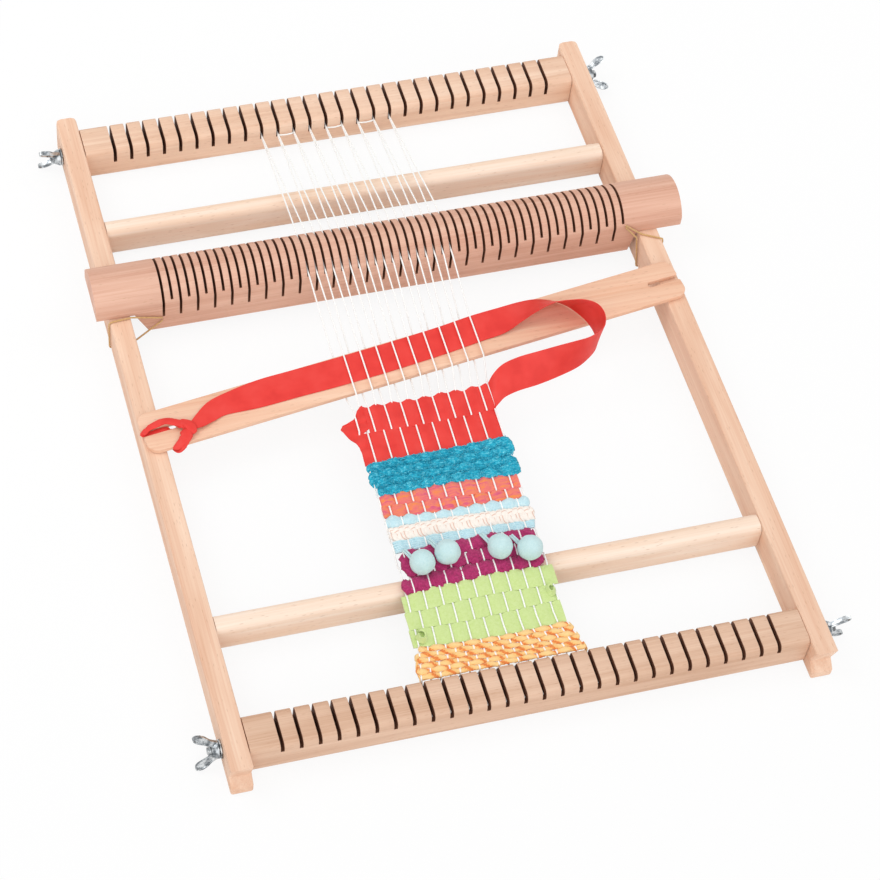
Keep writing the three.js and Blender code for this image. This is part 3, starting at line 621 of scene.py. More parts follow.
def cotton_stretch(name, body, start, end, extra=()):
    """All threads between two places along the loom, as one piece."""
    runs = []
    for number in range(last_thread + 1):
        points = [Vector(p) for p in thread_points(number)]
        inside = [p for p in points if start < p.y < end]
        for limit in (start, end):
            for a, b in zip(points, points[1:]):
                if a.y < limit <= b.y:
                    inside.append(a.lerp(b, (limit - a.y) / (b.y - a.y)))
                    break
        runs.append(sorted(inside, key=lambda p: p.y))
    runs.extend([Vector(p) for p in run] for run in extra)
    return finished(name, tube_mesh(f"{name}_line", runs, thread_radius, 2), cotton, body, "white_cotton", sharp=60)


# Mercerised cotton is a clean white with a faint lustre. Its twist shows every 2.4 mm, which
# is coarser than the real one, so that it shows.
cotton, tree = blank_material("white_mercerised_cotton")
place = node(tree, "TexCoord").outputs["Object"]
strands = node(tree, "TexWave", {"Vector": place, "Scale": 260.0, "Distortion": 1.5}, wave_type="BANDS",
               bands_direction="DIAGONAL")
shade = node(tree, "ValToRGB", {"Fac": strands.outputs["Fac"]}, [(0.0, "#f6f5f2"), (0.6, "#fdfdfb")])
surface = node(tree, "BsdfPrincipled", {"Base Color": shade, "Roughness": 0.6, "Sheen Weight": 0.25})
node(tree, "OutputMaterial", {"Surface": surface})

cloth_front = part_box("front_cross_bar")[0].y / MM
shed_back = 62.0
heddle_before, heddle_behind = heddle_front - 0.6, heddle_back + 0.6
stretch = cotton_stretch("warp_at_front_beam", None, -274, cloth_front)
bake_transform(stretch)
cotton_stretch("warp_in_weaving", "frame", cloth_front, shed_back)
stretch = cotton_stretch("warp_before_heddle", None, shed_back, heddle_before)
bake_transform(stretch)
cotton_stretch("warp_in_heddle", "heddle_bar", heddle_before, heddle_behind)
stretch = cotton_stretch("warp_behind_heddle", None, heddle_behind, 190)
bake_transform(stretch)
turns = []
for number in range(1, last_thread, 2):
    x, _, z = thread_points(number)[-1]
    next_x, _, next_z = thread_points(number + 1)[-1]
    turns.append([(x, 277.5, z), (x + 0.5, 279.7, z), (x + 1.8, 280.2, z), (next_x - 1.8, 280.2, next_z),
                  (next_x - 0.5, 279.7, next_z), (next_x, 277.5, next_z)])
for kerf in (10, 13, 15):
    left_x, right_x = kerf_x(kerf, *back_kerfs), kerf_x(kerf + 1, *back_kerfs)
    turns.append([(left_x, 252, 16.6), (left_x + 0.6, 249.6, 16.9), (left_x + 2, 249.0, 17.0),
                  ((left_x + right_x) / 2, 248.9, 16.6), (right_x - 2, 249.0, 17.0),
                  (right_x - 0.6, 249.6, 16.9), (right_x, 252, 16.6)])
stretch = cotton_stretch("warp_at_back_beam", None, 190, 279, extra=turns)
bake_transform(stretch)
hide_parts(*(f"warp_{number}" for number in range(1, 11)))


# Yellow rows
# Six rows of a two-ply wool, one ply yellow and one orange, beaten up against
# the beam. They show as pillows; both ends run down into the outer kerfs.
def thread_number(x, d):
    """How many threads lie to the left of a place, with the first as 0."""
    left, right = between(left_thread, d), between(right_thread, d)
    return last_thread * (x - left) / (right - left)


def hump(x, d, seen):
    """1 where a row passes over a thread, -1 where it passes under one that is seen."""
    number = thread_number(x, d)
    inside = max(0.0, min(1.0, (number + 0.9) / 0.6, (last_thread + 0.9 - number) / 0.6))
    return -math.cos(math.pi * (number - seen)) * inside


def grown_grid(shape, place, along, around, uv_size=(1.0, 1.0), closed=True, thickness=0.0):
    """Add a grid whose points a function puts in place, closed as a tube or made solid as a sheet."""
    layer = shape.loops.layers.uv.verify()
    made = bmesh.ops.create_grid(shape, x_segments=along, y_segments=around, size=1.0)["verts"]
    faces = list({face for vert in made for face in vert.link_faces})
    shares = {vert: ((vert.co.x + 1) / 2, (vert.co.y + 1) / 2) for vert in made}
    for face in faces:
        for loop in face.loops:
            s, t = shares[loop.vert]
            loop[layer].uv = (s * uv_size[0], t * uv_size[1])
    for vert, (s, t) in shares.items():
        vert.co = Vector(place(s, t)) * MM
    if closed:
        bmesh.ops.remove_doubles(shape, verts=made, dist=1e-6)
    if thickness:
        bmesh.ops.recalc_face_normals(shape, faces=faces)
        bmesh.ops.solidify(shape, geom=faces, thickness=thickness * MM)


def yarn(shape, path, flat=1.0, plies=0, pitch=8.0, lobe=0.0, rough=0.0, grain=1.0, sides=16, seed=0.0):
    """Add one round-ended yarn along a path of (x, y, z, half width), flattened, twisted and roughened."""
    run = [0.0]
    for a, b in zip(path, path[1:]):
        run.append(run[-1] + (Vector(b[:3]) - Vector(a[:3])).length)
    total = run[-1]
    last = len(path) - 1

    def place(s, t):
        index = round(s * last)
        x, y, z, half = path[index]
        ahead = Vector(path[min(last, index + 1)][:3]) - Vector(path[max(0, index - 1)][:3])
        across = Vector((-ahead.y, ahead.x, 0)).normalized()
        up = ahead.cross(across).normalized() if across.length else Vector((0, 0, 1))
        here = run[index]
        ends = min(here, total - here) / half
        taper = math.sqrt(max(0.0, 1 - (1 - ends) ** 2)) if ends < 1 else 1.0
        turn = 2 * math.pi * t
        radius = half * taper
        if plies:
            radius *= 1 - lobe + lobe * abs(math.cos(plies * 0.5 * (turn - 2 * math.pi * here / pitch)))
        away = across * math.cos(turn) + up * math.sin(turn) * flat
        spot = Vector((x, y, z)) + away * radius
        if rough and taper > 0.05:
            spot += away * rough * noise.fractal(spot * grain + Vector((seed, 0, 0)), 0.6, 2.1, 3)
        return spot

    grown_grid(shape, place, last, sides, uv_size=(total * MM, 1.0))


def row_path(front, back, seen, left, right, rise, swell=0.15, step=1.0, share=(0.0, 1.0), fat=1.0):
    """One weft row's middle line between its two edges, as (x, y, z, half width)."""
    count = round((right - left) / step)
    path = []
    for index in range(count + 1):
        x = left + (right - left) * index / count
        low, high = between(front, x), between(back, x)
        low, high = low + (high - low) * share[0], low + (high - low) * share[1]
        d = (low + high) / 2
        over = hump(x, d, seen)
        path.append((x, front_end + d, between(weave_level, d) + rise * over,
                     (high - low) / 2 * fat * (1 - swell + swell * over)))
    return path


def packed_rows(first, ends, rise, swell, fat, reach, step=1.0):
    """One yarn's path through neighbouring rows, each between its own ends, turning back at the edges."""
    joined = []
    for index, (left, right) in enumerate(ends):
        path = row_path(*rows[first + index], left, right, rise, swell=swell, step=step, fat=fat)
        row = path if index % 2 == 0 else path[::-1]
        if joined:
            a, b = Vector(joined[-1][:3]), Vector(row[0][:3])
            out = Vector((1 if index % 2 else -1, 0, 0))
            middle, half = (a + b) / 2, (b - a).length / 2
            for k in range(1, 8):
                angle = math.pi * k / 8
                spot = middle - (b - a) / 2 * math.cos(angle) + out * half * reach * math.sin(angle)
                joined.append((*spot, (joined[-1][3] + row[0][3]) / 2))
        joined.extend(row)
    return joined


def smooth_line(points, steps):
    """A smooth line that passes through every point."""
    line = []
    count = len(points) - 1
    for step in range(steps + 1):
        at = min(count - 1e-9, step / steps * count)
        index = int(at)
        t = at - index
        p0, p1 = points[max(0, index - 1)], points[index]
        p2, p3 = points[index + 1], points[min(count, index + 2)]
        line.append(0.5 * (2 * p1 + (p2 - p0) * t + (2 * p0 - 5 * p1 + 4 * p2 - p3) * t * t
                           + (3 * p1 - p0 - 3 * p2 + p3) * t ** 3))
    return line


def ply_wave(tree, twist, crests):
    """A wave that winds with a yarn's plies, one turn in each length of twist, from its UV map."""
    along, around = node(tree, "SeparateXYZ", {0: node(tree, "UVMap")}).outputs[:2]
    turns = node(tree, "Math", {0: along, 1: 1 / twist}, operation="MULTIPLY")
    phase = node(tree, "Math", {0: around, 1: turns}, operation="SUBTRACT")
    angle = node(tree, "Math", {0: phase, 1: crests * math.pi}, operation="MULTIPLY")
    return node(tree, "Math", {0: angle}, operation="COSINE")


yellow_twist = 12.0
yellow_ends = [(-70.5 + 0.8 * index, 43.0 - 1.1 * index) for index in range(6)]
shape = bmesh.new()
yarn(shape, packed_rows(YELLOW, yellow_ends, 0.6, swell=0.09, fat=1.2, reach=0.25), flat=0.72, plies=2,
     pitch=yellow_twist, lobe=0.14, rough=0.55, grain=0.9, sides=18)
yarn_ends = (
    ((-67.0, 62.0, 25.4), (-70.6, 52.0, 24.6), (-70.0, 44.5, 22.5), (-69.85, 41.8, 19.5), (-69.85, 36.0, 16.4),
     (-69.85, 24.0, 18.8)),
    ((38.0, 45.0, 24.6), (43.0, 44.4, 24.6), (44.6, 43.4, 23.2), (44.45, 41.6, 20.6), (44.45, 36.0, 17.0),
     (44.45, 24.0, 19.4)),
)
for stations in yarn_ends:
    line = smooth_line([Vector((x, front_end + d, z)) for x, d, z in stations], 30)
    yarn(shape, [(*spot, 1.0) for spot in line], plies=2, pitch=8.0, lobe=0.25, rough=0.15, sides=12)
# One ply is yellow and the other orange, which gives slanting stripes on a matt wool. Its
# fuzz is 1.1 mm long, coarser than the real fibres, so that it shows.
yellow_wool, tree = blank_material("yellow_and_orange_two_ply_wool")
wave = ply_wave(tree, yellow_twist * MM, 2)
fuzz = node(tree, "TexNoise", {"Vector": node(tree, "TexCoord").outputs["Object"], "Scale": 900.0,
                               "Detail": 3.0})
soft = node(tree, "Math", {0: fuzz, 1: 1.4, 2: -0.7}, operation="MULTIPLY_ADD")
mixed = node(tree, "Math", {0: wave, 1: soft}, operation="ADD")
ply = node(tree, "MapRange", {0: mixed, 1: -1.0, 2: 1.0})
shade = node(tree, "ValToRGB", {"Fac": ply},
             [(0.03, "#e6803c"), (0.1, "#f3a055"), (0.21, "#fbc67c"), (1.0, "#fed592")])
relief = node(tree, "Bump", {"Height": fuzz, "Strength": 0.5, "Distance": 0.0006})
surface = node(tree, "BsdfPrincipled", {"Base Color": shade, "Normal": relief, "Roughness": 0.9, "Sheen Weight": 0.3})
node(tree, "OutputMaterial", {"Surface": surface})
yellow = finished("yellow_weft", shape, yellow_wool, None, "yellow_yarn", "yellow_rows", sharp=180)
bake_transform(yellow)


# Green rows
# One strip of soft green felt, 15 mm wide and 1.3 mm thick, laid in three rows
# and tucked round into the next row at the edges.
def fibre_material(name, dark, base, light, grain, streak=(1.0, 1.0, 1.0), bump=0.5, contrast=0.25, sheen=0.3):
    """Wool or felt in three shades, with fibres of a size in metres and a stretch along each axis.
    The dark shade lies in the low places of the fibre relief and the light one on its high places.
    """
    material, tree = blank_material(name)
    place = node(tree, "TexCoord").outputs["Object"]
    drawn = node(tree, "Mapping", {"Vector": place, "Scale": streak})
    fibres = node(tree, "TexNoise", {"Vector": drawn, "Scale": 1 / grain, "Detail": 4.0, "Roughness": 0.65,
                                     "Distortion": 0.8})
    shade = node(tree, "ValToRGB", {"Fac": fibres}, [(0.5 - contrast, dark), (0.5, base), (0.5 + contrast, light)])
    relief = node(tree, "Bump", {"Height": fibres, "Strength": bump, "Distance": 0.0006})
    surface = node(tree, "BsdfPrincipled", {"Base Color": shade, "Normal": relief, "Roughness": 0.9,
                                            "Sheen Weight": sheen, "Sheen Roughness": 0.6})
    node(tree, "OutputMaterial", {"Surface": surface})
    return material


def strip_row(shape, index, left, right, rise, thickness, scallop=0.5, swell=0.3, step=1.0, gap=0.25,
              wrinkle=0.0, seed=0.0):
    """Add one flat strip between a row's two edges, with its pillows between the threads."""
    front, back, seen = rows[index]

    def place(s, t):
        x = left + (right - left) * s
        low, high = between(front, x) + gap, between(back, x) - gap
        side = 2 * t - 1
        d = low + (high - low) * t
        over = hump(x, d, seen)
        d += side * scallop * (over + 1) / 2
        z = between(weave_level, d) + rise * over * (1 - 0.3 * side * side) + swell * (1 - side ** 4)
        if wrinkle:
            z += wrinkle * noise.noise(Vector((x * 0.35, d * 0.07, seed)))
        return (x, front_end + d, z)

    count = round((right - left) / step)
    grown_grid(shape, place, count, 10, uv_size=((right - left) * MM, 1.0), closed=False, thickness=thickness)


shape = bmesh.new()
felt_thickness = 1.3
felt_ends = ((-68.5, 37.5), (-68.0, 36.5), (-67.0, 40.5))
for index, (left, right) in enumerate(felt_ends):
    strip_row(shape, GREEN + index, left, right, 0.55, felt_thickness, scallop=0.35)
for x, d, facing, size in ((33.5, 89.5, 0.4, 1.4), (-61.5, 73.5, 2.4, 1.6)):

    def tuck_place(s, t, x=x, d=d, facing=facing, size=size):
        """The strip stands up in a small loop where it is tucked round into its next row."""
        turn = facing + math.radians(25 + 310 * s)
        height = between(weave_level, d) + 0.6 + 2.6 * size * t
        lean = 1.0 - 0.35 * t
        return (x + 2.6 * size * lean * math.cos(turn), front_end + d + 3.4 * size * lean * math.sin(turn),
                height)

    grown_grid(shape, tuck_place, 22, 4, uv_size=(0.016, 0.003), closed=False, thickness=1.1)
# Pressed wool felt is an even, matt green with faint blotches about 2 mm across.
green_felt = fibre_material("pressed_green_felt", "#c0d77f", "#cbdf93", "#d3e49f", 0.0022, contrast=0.32, bump=0.12)
green = finished("green_weft", shape, green_felt, None, "green_felt", "green_rows", sharp=50)
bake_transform(green)

# Magenta row
# Three passes of a thick magenta wool, a loosely spun single, are beaten down
# until they swell into lumps between the threads.
magenta_ends = ((-65.0, 29.5), (-53.0, 30.0), (-53.0, 37.0))
shape = bmesh.new()
yarn(shape, packed_rows(MAGENTA, magenta_ends, 0.5, swell=0.07, fat=1.14, reach=0.3, step=0.8), flat=0.36,
     rough=1.9, grain=0.4, sides=32)
# The wool is a deep magenta and matt; its darkest colour, in the low places of the fibre relief, is painted shade for
# its creases.
magenta_wool = fibre_material("magenta_wool_single", "#7d0f48", "#b01d62", "#c93f80", 0.0016, contrast=0.28,
                              bump=1.0, sheen=0.15)
finished("magenta_weft", shape, magenta_wool, "frame", "magenta_yarn", "magenta_row", sharp=180)

# Pompom cord
# Five fine pale-blue strands of cotton lie side by side in one row, and the
# four pompoms hang from them.
shape = bmesh.new()
for strand in range(5):
    path = row_path(*rows[CORD], -61.5, 38.5 + 0.4 * strand, 0.45, swell=0.05,
                    share=(strand / 5, (strand + 1) / 5), fat=1.35)
    yarn(shape, path, flat=1.1, plies=2, pitch=2.6, lobe=0.2, rough=0.2, grain=1.5, sides=12, seed=strand)
# Soft cotton in thin strands is a matt pale blue.
pale_cotton = fibre_material("pale_blue_cotton_strands", "#a9d6e3", "#c3e5ee", "#daf1f6", 0.0012, bump=0.3)
finished("pompom_cord_strands", shape, pale_cotton, "frame", "pale_blue_yarn", "pompom_cord", sharp=180)

# Pale blue row
# One pass of a plump, soft, pale-blue yarn, laid in the shed and pinched by
# every second thread.
shape = bmesh.new()
yarn(shape, row_path(*rows[PALE], -62.0, 41.0, 0.8, swell=0.12, fat=1.2), flat=0.5, rough=0.4, grain=0.7,
     sides=20)
# The soft yarn is an even pale blue without lustre.
pale_wool = fibre_material("pale_blue_soft_yarn", "#b0d9e5", "#c6e6ee", "#dcf1f6", 0.0018, bump=0.3)
finished("pale_blue_weft", shape, pale_wool, "frame", "pale_blue_yarn", "pale_blue_row", sharp=180)

# Cream braid
# A flat braid of three cream cotton strands lies across the threads in one
# row; its creases are painted a darker pink as shade.
shape = bmesh.new()
braid_period = 11.5
braid_left, braid_right, braid_step = -60.5, 40.6, 0.6
strand_twist = 15.0
for strand in range(3):
    path = []
    for step in range(int((braid_right - braid_left) / braid_step) + 1):
        x = braid_left + braid_step * step
        low, high = between(cream_front, x), between(cream_back, x)
        d, half = (low + high) / 2, (high - low) / 2
        turn = 2 * math.pi * (x / braid_period + strand / 3)
        path.append((x, front_end + d + 0.6 * half * math.sin(turn),
                     between(weave_level, d) + 0.5 + 0.85 * math.sin(2 * turn), 0.55 * half))
    yarn(shape, path, flat=0.5, plies=3, pitch=strand_twist, lobe=0.18, rough=0.12, grain=1.4, sides=18, seed=strand)
# Cotton in three plies is a warm cream, painted a darker pink where the plies meet: painted shade in the creases.
cream_cotton, tree = blank_material("cream_cotton_braid_with_painted_crease_shade")
height = node(tree, "Math", {0: ply_wave(tree, strand_twist * MM, 3)}, operation="ABSOLUTE")
shade = node(tree, "ValToRGB", {"Fac": height}, [(0.06, "#dfae9c"), (0.2, "#f6e4d7"), (0.6, "#fbf2e9")])
surface = node(tree, "BsdfPrincipled", {"Base Color": shade, "Roughness": 0.9, "Sheen Weight": 0.2})
node(tree, "OutputMaterial", {"Surface": surface})
finished("cream_braid_strands", shape, cream_cotton, "frame", "cream_yarn", "cream_braid", sharp=180)

# Coral rows
# Two passes of a flat, unspun wool roving that runs from coral to orange and
# pink, laid in by hand.
shape = bmesh.new()
strip_row(shape, CORAL, -60.5, 37.0, 0.75, 1.6, scallop=0.7, swell=0.5, wrinkle=0.5, seed=3)
strip_row(shape, CORAL + 1, -60.3, 38.6, 0.75, 1.6, scallop=0.7, swell=0.5, wrinkle=0.5, seed=7)
# Unspun fibres lie in streaks of pink, coral and orange about 2.4 mm wide.
coral_roving, tree = blank_material("coral_and_orange_wool_roving")
place = node(tree, "TexCoord").outputs["Object"]
drawn = node(tree, "Mapping", {"Vector": place, "Scale": (0.16, 1.0, 1.0)})
streaks = node(tree, "TexNoise", {"Vector": drawn, "Scale": 420.0, "Detail": 3.0, "Distortion": 0.6})
shade = node(tree, "ValToRGB", {"Fac": streaks},
             [(0.3, "#d9527f"), (0.42, "#ea6f72"), (0.55, "#f07f68"), (0.68, "#f48a45")])
relief = node(tree, "Bump", {"Height": streaks, "Strength": 0.8, "Distance": 0.0008})
surface = node(tree, "BsdfPrincipled", {"Base Color": shade, "Normal": relief, "Roughness": 0.85, "Sheen Weight": 0.3})
node(tree, "OutputMaterial", {"Surface": surface})
finished("coral_weft", shape, coral_roving, "frame", "coral_yarn", "coral_rows", sharp=60)

# Teal rows
# Four packed passes of a teal bouclé, a wool yarn with small loops all over,
# which turns back at each edge.
teal_ends = ((-60.0, 37.8), (-57.5, 36.6), (-58.0, 37.9), (-62.5, 37.6))
shape = bmesh.new()
yarn(shape, packed_rows(TEAL, teal_ends, 0.35, swell=0.05, fat=1.18, reach=0.3, step=0.6), flat=0.5,
     rough=1.5, grain=0.75, sides=30)
curl_count, curl_radius = 1900, 0.24
chance = random.Random(7)
curls = []
for _ in range(curl_count):
    x, share = chance.uniform(-60.5, 41.0), chance.uniform(0.02, 0.98)
    low, high = between(coral_back, x), between(teal_back, x)
    d = low + (high - low) * share
    centre = Vector((x, front_end + d, between(weave_level, d) + chance.uniform(1.4, 2.3)))
    way = chance.uniform(0, math.tau)
    lean = Vector((math.cos(way), 0.5 * math.sin(way), chance.uniform(-0.2, 0.3)))
    size = chance.uniform(0.5, 1.1)
    curl = []
    for k in range(5):
        turn = math.pi * (0.3 * k - 0.1)
        out = lean * math.cos(turn) + Vector((0, 0, 0.6)) * math.sin(turn)
        curl.append(centre + out * size)
    curls.append(curl)
shape.from_mesh(tube_mesh("teal_curls", curls, curl_radius, 0))
# The wool runs from deep to light teal within a millimetre; its lightest flecks, on the high places of the fibre
# relief, are painted highlights that give the loops their sparkle.
teal_boucle = fibre_material("teal_wool_boucle", "#0489aa", "#18b0ce", "#84e0ee", 0.0011,
                             streak=(0.4, 1.0, 1.0), contrast=0.2, bump=0.6, sheen=0.0)
finished("teal_weft", shape, teal_boucle, "frame", "teal_yarn", "teal_row", sharp=180)

# Pompoms
# Four tight pale-blue pompoms, 17.6 mm across, clipped smooth and pressed flat
# where they lie on the weaving; each hangs by a doubled strand from its cord.
pompom_radius = 8.8
pompom_level, pressed_level = 37.6, 32.4
strand_steps = 14
# Cut ends of yarn make a dense, matt, pale blue-green surface.
clipped = fibre_material("clipped_pale_blue_pompom", "#b4d9dc", "#c6e3e5", "#d4ecec", 0.0011, contrast=0.35,
                         bump=0.25, sheen=0.15)
for number, (x, d) in enumerate(((-47.6, 124.2), (-28.6, 128.4), (7.6, 125.3), (27.3, 119.8)), start=1):
    shape = bmesh.new()
    bmesh.ops.create_icosphere(shape, subdivisions=5, radius=1.0)
    centre = Vector((x, front_end + d, pompom_level))
    for vert in shape.verts:
        way = vert.co.normalized()
        lump = 0.45 * noise.noise(way * 1.7 + Vector((number, 0, 0))) + 0.12 * noise.noise(way * 9)
        spot = centre + way * (pompom_radius - 0.1 + lump)
        spot.z = max(spot.z, pressed_level)
        vert.co = spot * MM
    for side in (-0.8, 0.8):
        path = []
        for step in range(strand_steps + 1):
            share = step / strand_steps
            spot = centre + Vector((-4.5 - 4.0 * share + side, 5.0 + 11.5 * share + side * 0.4, 0))
            spot.z = 34.0 - 2.2 * share ** 2
            path.append((*spot, 0.85))
        yarn(shape, path, plies=2, pitch=3.0, lobe=0.2, sides=10)
    finished(f"pompom_ball_{number}", shape, clipped, "frame", "pompom_yarn", f"pompom_{number}", sharp=180)


# Red ribbon
# One length of red satin ribbon, 24 mm wide, is tied to the shuttle, lies along
# it, turns over in a loose loop and is woven back and forth in two rows.
def satin(name, dark, base, light):
    """Polyester satin: a soft gloss, fine ribs that follow the ribbon, and clouds of 14 mm in the red.
    The ribs lie 0.45 mm apart, coarser than the real weave, so that they show."""
    material, tree = blank_material(name)
    uv = node(tree, "UVMap")
    ribs = node(tree, "TexWave", {"Vector": uv, "Scale": 700.0, "Distortion": 0.4}, wave_type="BANDS",
                bands_direction="X")
    place = node(tree, "TexCoord").outputs["Object"]
    clouds = node(tree, "TexNoise", {"Vector": place, "Scale": 70.0, "Detail": 2.0})
    shade = node(tree, "ValToRGB", {"Fac": clouds}, [(0.3, dark), (0.5, base), (0.72, light)])
    relief = node(tree, "Bump", {"Height": ribs.outputs["Fac"], "Strength": 0.12, "Distance": 0.0002})
    surface = node(tree, "BsdfPrincipled", {"Base Color": shade, "Normal": relief, "Roughness": 0.5,
                                            "Specular IOR Level": 0.35, "Anisotropic": 0.4})
    node(tree, "OutputMaterial", {"Surface": surface})
    return material


red_satin = satin("red_polyester_satin", "#de322c", "#e63a33", "#e9433c")
ribbon_thickness = 0.4
ribbon_width = 0.024
shape = bmesh.new()
lower_x, lower_end = -56.5, 40.0
upper_x, upper_end = -51.5, 41.0
strip_row(shape, RED, lower_x, lower_end, 0.5, ribbon_thickness, scallop=0.2, swell=0.3, wrinkle=0.2, seed=11)
strip_row(shape, RED + 1, upper_x, upper_end, 0.6, ribbon_thickness, scallop=1.4, swell=0.3, wrinkle=0.4, seed=15)
fold_edge = ((0.0, (-62.5, 214.5)), (0.16, (-62, 222)), (0.33, (-62, 231)), (0.43, (-64.5, 235.5)),
             (0.5, (-67, 240)), (0.57, (-69.5, 244)), (0.64, (-71.5, 248.5)), (0.7, (-69, 252)),
             (0.75, (-66.5, 252)), (0.8, (-63.5, 253.5)), (0.85, (-60, 255.5)), (0.9, (-58, 258)),
             (0.95, (-56, 262)), (1.0, (-52.5, 265.5)))


def fold_place(s, t):
    """The fan of pleats where the lower row folds back into the upper one."""
    left_x = between(tuple((at, spot[0]) for at, spot in fold_edge), t)
    left_d = between(tuple((at, spot[1]) for at, spot in fold_edge), t)
    right_x = between(((0.0, lower_x + 0.4), (0.5, lower_x + 0.4), (0.56, upper_x + 0.4), (1.0, upper_x + 0.4)), t)
    right_d = between(((0.0, between(teal_back, right_x)), (0.5, between(red_middle, right_x)), (1.0, 266.0)), t)
    x, d = left_x + (right_x - left_x) * s, left_d + (right_d - left_d) * s
    pleat = math.cos(2 * math.pi * (t * 5.2 - 0.1)) * (0.8 - 0.4 * s)
    return (x, front_end + d, between(weave_level, d) + 0.35 + pleat * min(1.0, 4 * t, 4 * (1 - t)))


grown_grid(shape, fold_place, 16, 60, uv_size=(0.018, 1.0), closed=False, thickness=ribbon_thickness)
red_weft = finished("red_weft", shape, red_satin, "frame", "red_ribbon", "red_rows", sharp=60)


# Its two edges at each station: the far one, then the near one. The near edge
# lifts at the loop, so the ribbon stands there and comes back leaning.
ribbon_edges = [
    ((-175, -18, 34.2), (-174, -22, 34.4)),
    ((-168, -10, 33.6), (-166, -21, 33.6)),
    ((-157, 0, 32.4), (-156.5, -17, 32.4)),
    ((-142, 6, 31.8), (-146, -13, 31.8)),
    ((-119, 11.8, 31.8), (-122, -12, 31.8)),
    ((-94, 15, 31.8), (-91, -8.5, 31.8)),
    ((-69, 18, 31.8), (-66, -6, 31.8)),
    ((-39, 22, 31.8), (-36, -2.2, 31.8)),
    ((-11, 26, 31.8), (-8, 2, 31.8)),
    ((20, 31, 31.8), (22, 7, 31.8)),
    ((46, 36, 31.8), (47, 12, 31.9)),
    ((68, 39, 31.8), (66, 15, 33)),
    ((84, 41, 31.8), (79, 19, 37.5)),
    ((97, 41, 31.8), (90, 21, 43.5)),
    ((109, 37, 31.8), (103, 21.5, 50)),
    ((118, 30, 31.8), (115, 19, 53)),
    ((124, 21, 31.8), (125, 15.5, 54.5)),
    ((128, 12, 31.8), (132, 9, 55)),
    ((130, 3, 31), (134, 0, 54.2)),
    ((129.5, -6, 30.2), (131, -9, 53.2)),
    ((126, -12, 29.4), (124.5, -13.5, 52.8)),
    ((119, -17.5, 28.5), (117, -16, 52)),
    ((109, -23, 28), (107, -16.5, 51)),
    ((93, -28, 28), (94, -16, 48.5)),
    ((77, -32, 28.4), (80, -15, 44.8)),
    ((62, -34.5, 28.8), (66, -15.5, 43)),
    ((51, -38, 29.2), (54, -18, 41.5)),
    ((45, -42.5, 29.6), (46.5, -21, 37)),
    ((41, -46, 29.9), (41.5, -24.5, 30.6)),
]
ribbon_steps = 230
far_edge = smooth_line([Vector(far) for far, _ in ribbon_edges], ribbon_steps)
near_edge = smooth_line([Vector(near) for _, near in ribbon_edges], ribbon_steps)
middles = [(a + b) / 2 for a, b in zip(far_edge, near_edge)]
ribbon_length = sum((b - a).length for a, b in zip(middles, middles[1:]))


def ribbon_place(s, t):
    index = round(s * ribbon_steps)
    return near_edge[index].lerp(far_edge[index], t) + Vector((0, 0, 0.25 * math.sin(math.pi * t)))


shape = bmesh.new()
grown_grid(shape, ribbon_place, ribbon_steps, 12, uv_size=(ribbon_length * MM, ribbon_width), closed=False,
           thickness=ribbon_thickness)
ribbon = finished("red_ribbon_free", shape, red_satin, None, "red_ribbon", "red_ribbon", sharp=60)
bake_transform(ribbon)

# Knot
# The same red satin: the ribbon's end is tied round one prong of the shuttle
# and drawn tight.
knot_rounds = (
    (((-177, -20, 34.2), 3.2), ((-181, -15.5, 34.6), 3.4), ((-190, -11.5, 34.2), 3.4), ((-199, -13, 33.8), 3.0),
     ((-206, -16.4, 32.4), 2.4), ((-207.5, -17.4, 30.8), 2.1), ((-203, -16.8, 29.8), 2.4), ((-195, -15.6, 30), 2.5),
     ((-188.5, -15.2, 29.6), 2.3), ((-187.8, -15.4, 26.2), 2.3), ((-187.4, -21, 25.8), 2.8), ((-187, -29, 25.9), 2.8),
     ((-185.8, -33.8, 28.4), 3.0), ((-183.2, -33.2, 31.8), 3.8), ((-180, -28.5, 33.4), 4.8),
     ((-178, -25, 33.8), 5.2), ((-176.5, -21, 34.4), 4.6)),
    (((-183, -17, 33.2), 3.0), ((-178, -16.5, 35), 4.6), ((-174, -20, 35), 4.8), ((-173.5, -26, 33.4), 3.4)),
    (((-179, -25, 33.4), 3.4), ((-181.5, -30, 33.2), 4.2), ((-185.5, -32.2, 32), 3.8), ((-189.5, -33, 30.6), 2.2)),
)
shape = bmesh.new()
for number, stations in enumerate(knot_rounds):
    steps = 9 * (len(stations) - 1)
    line = smooth_line([Vector(place) for place, _ in stations], steps)
    widths = smooth_line([Vector((half, 0, 0)) for _, half in stations], steps)
    path = [(*spot, 0.86 * width.x) for spot, width in zip(line, widths)]
    yarn(shape, path, flat=0.32, plies=5, pitch=60.0, lobe=0.12, rough=0.5, grain=0.3, sides=24, seed=number * 3.0)
finished("ribbon_knot", shape, red_satin, "shuttle", "red_ribbon", "ribbon_tie", sharp=180)

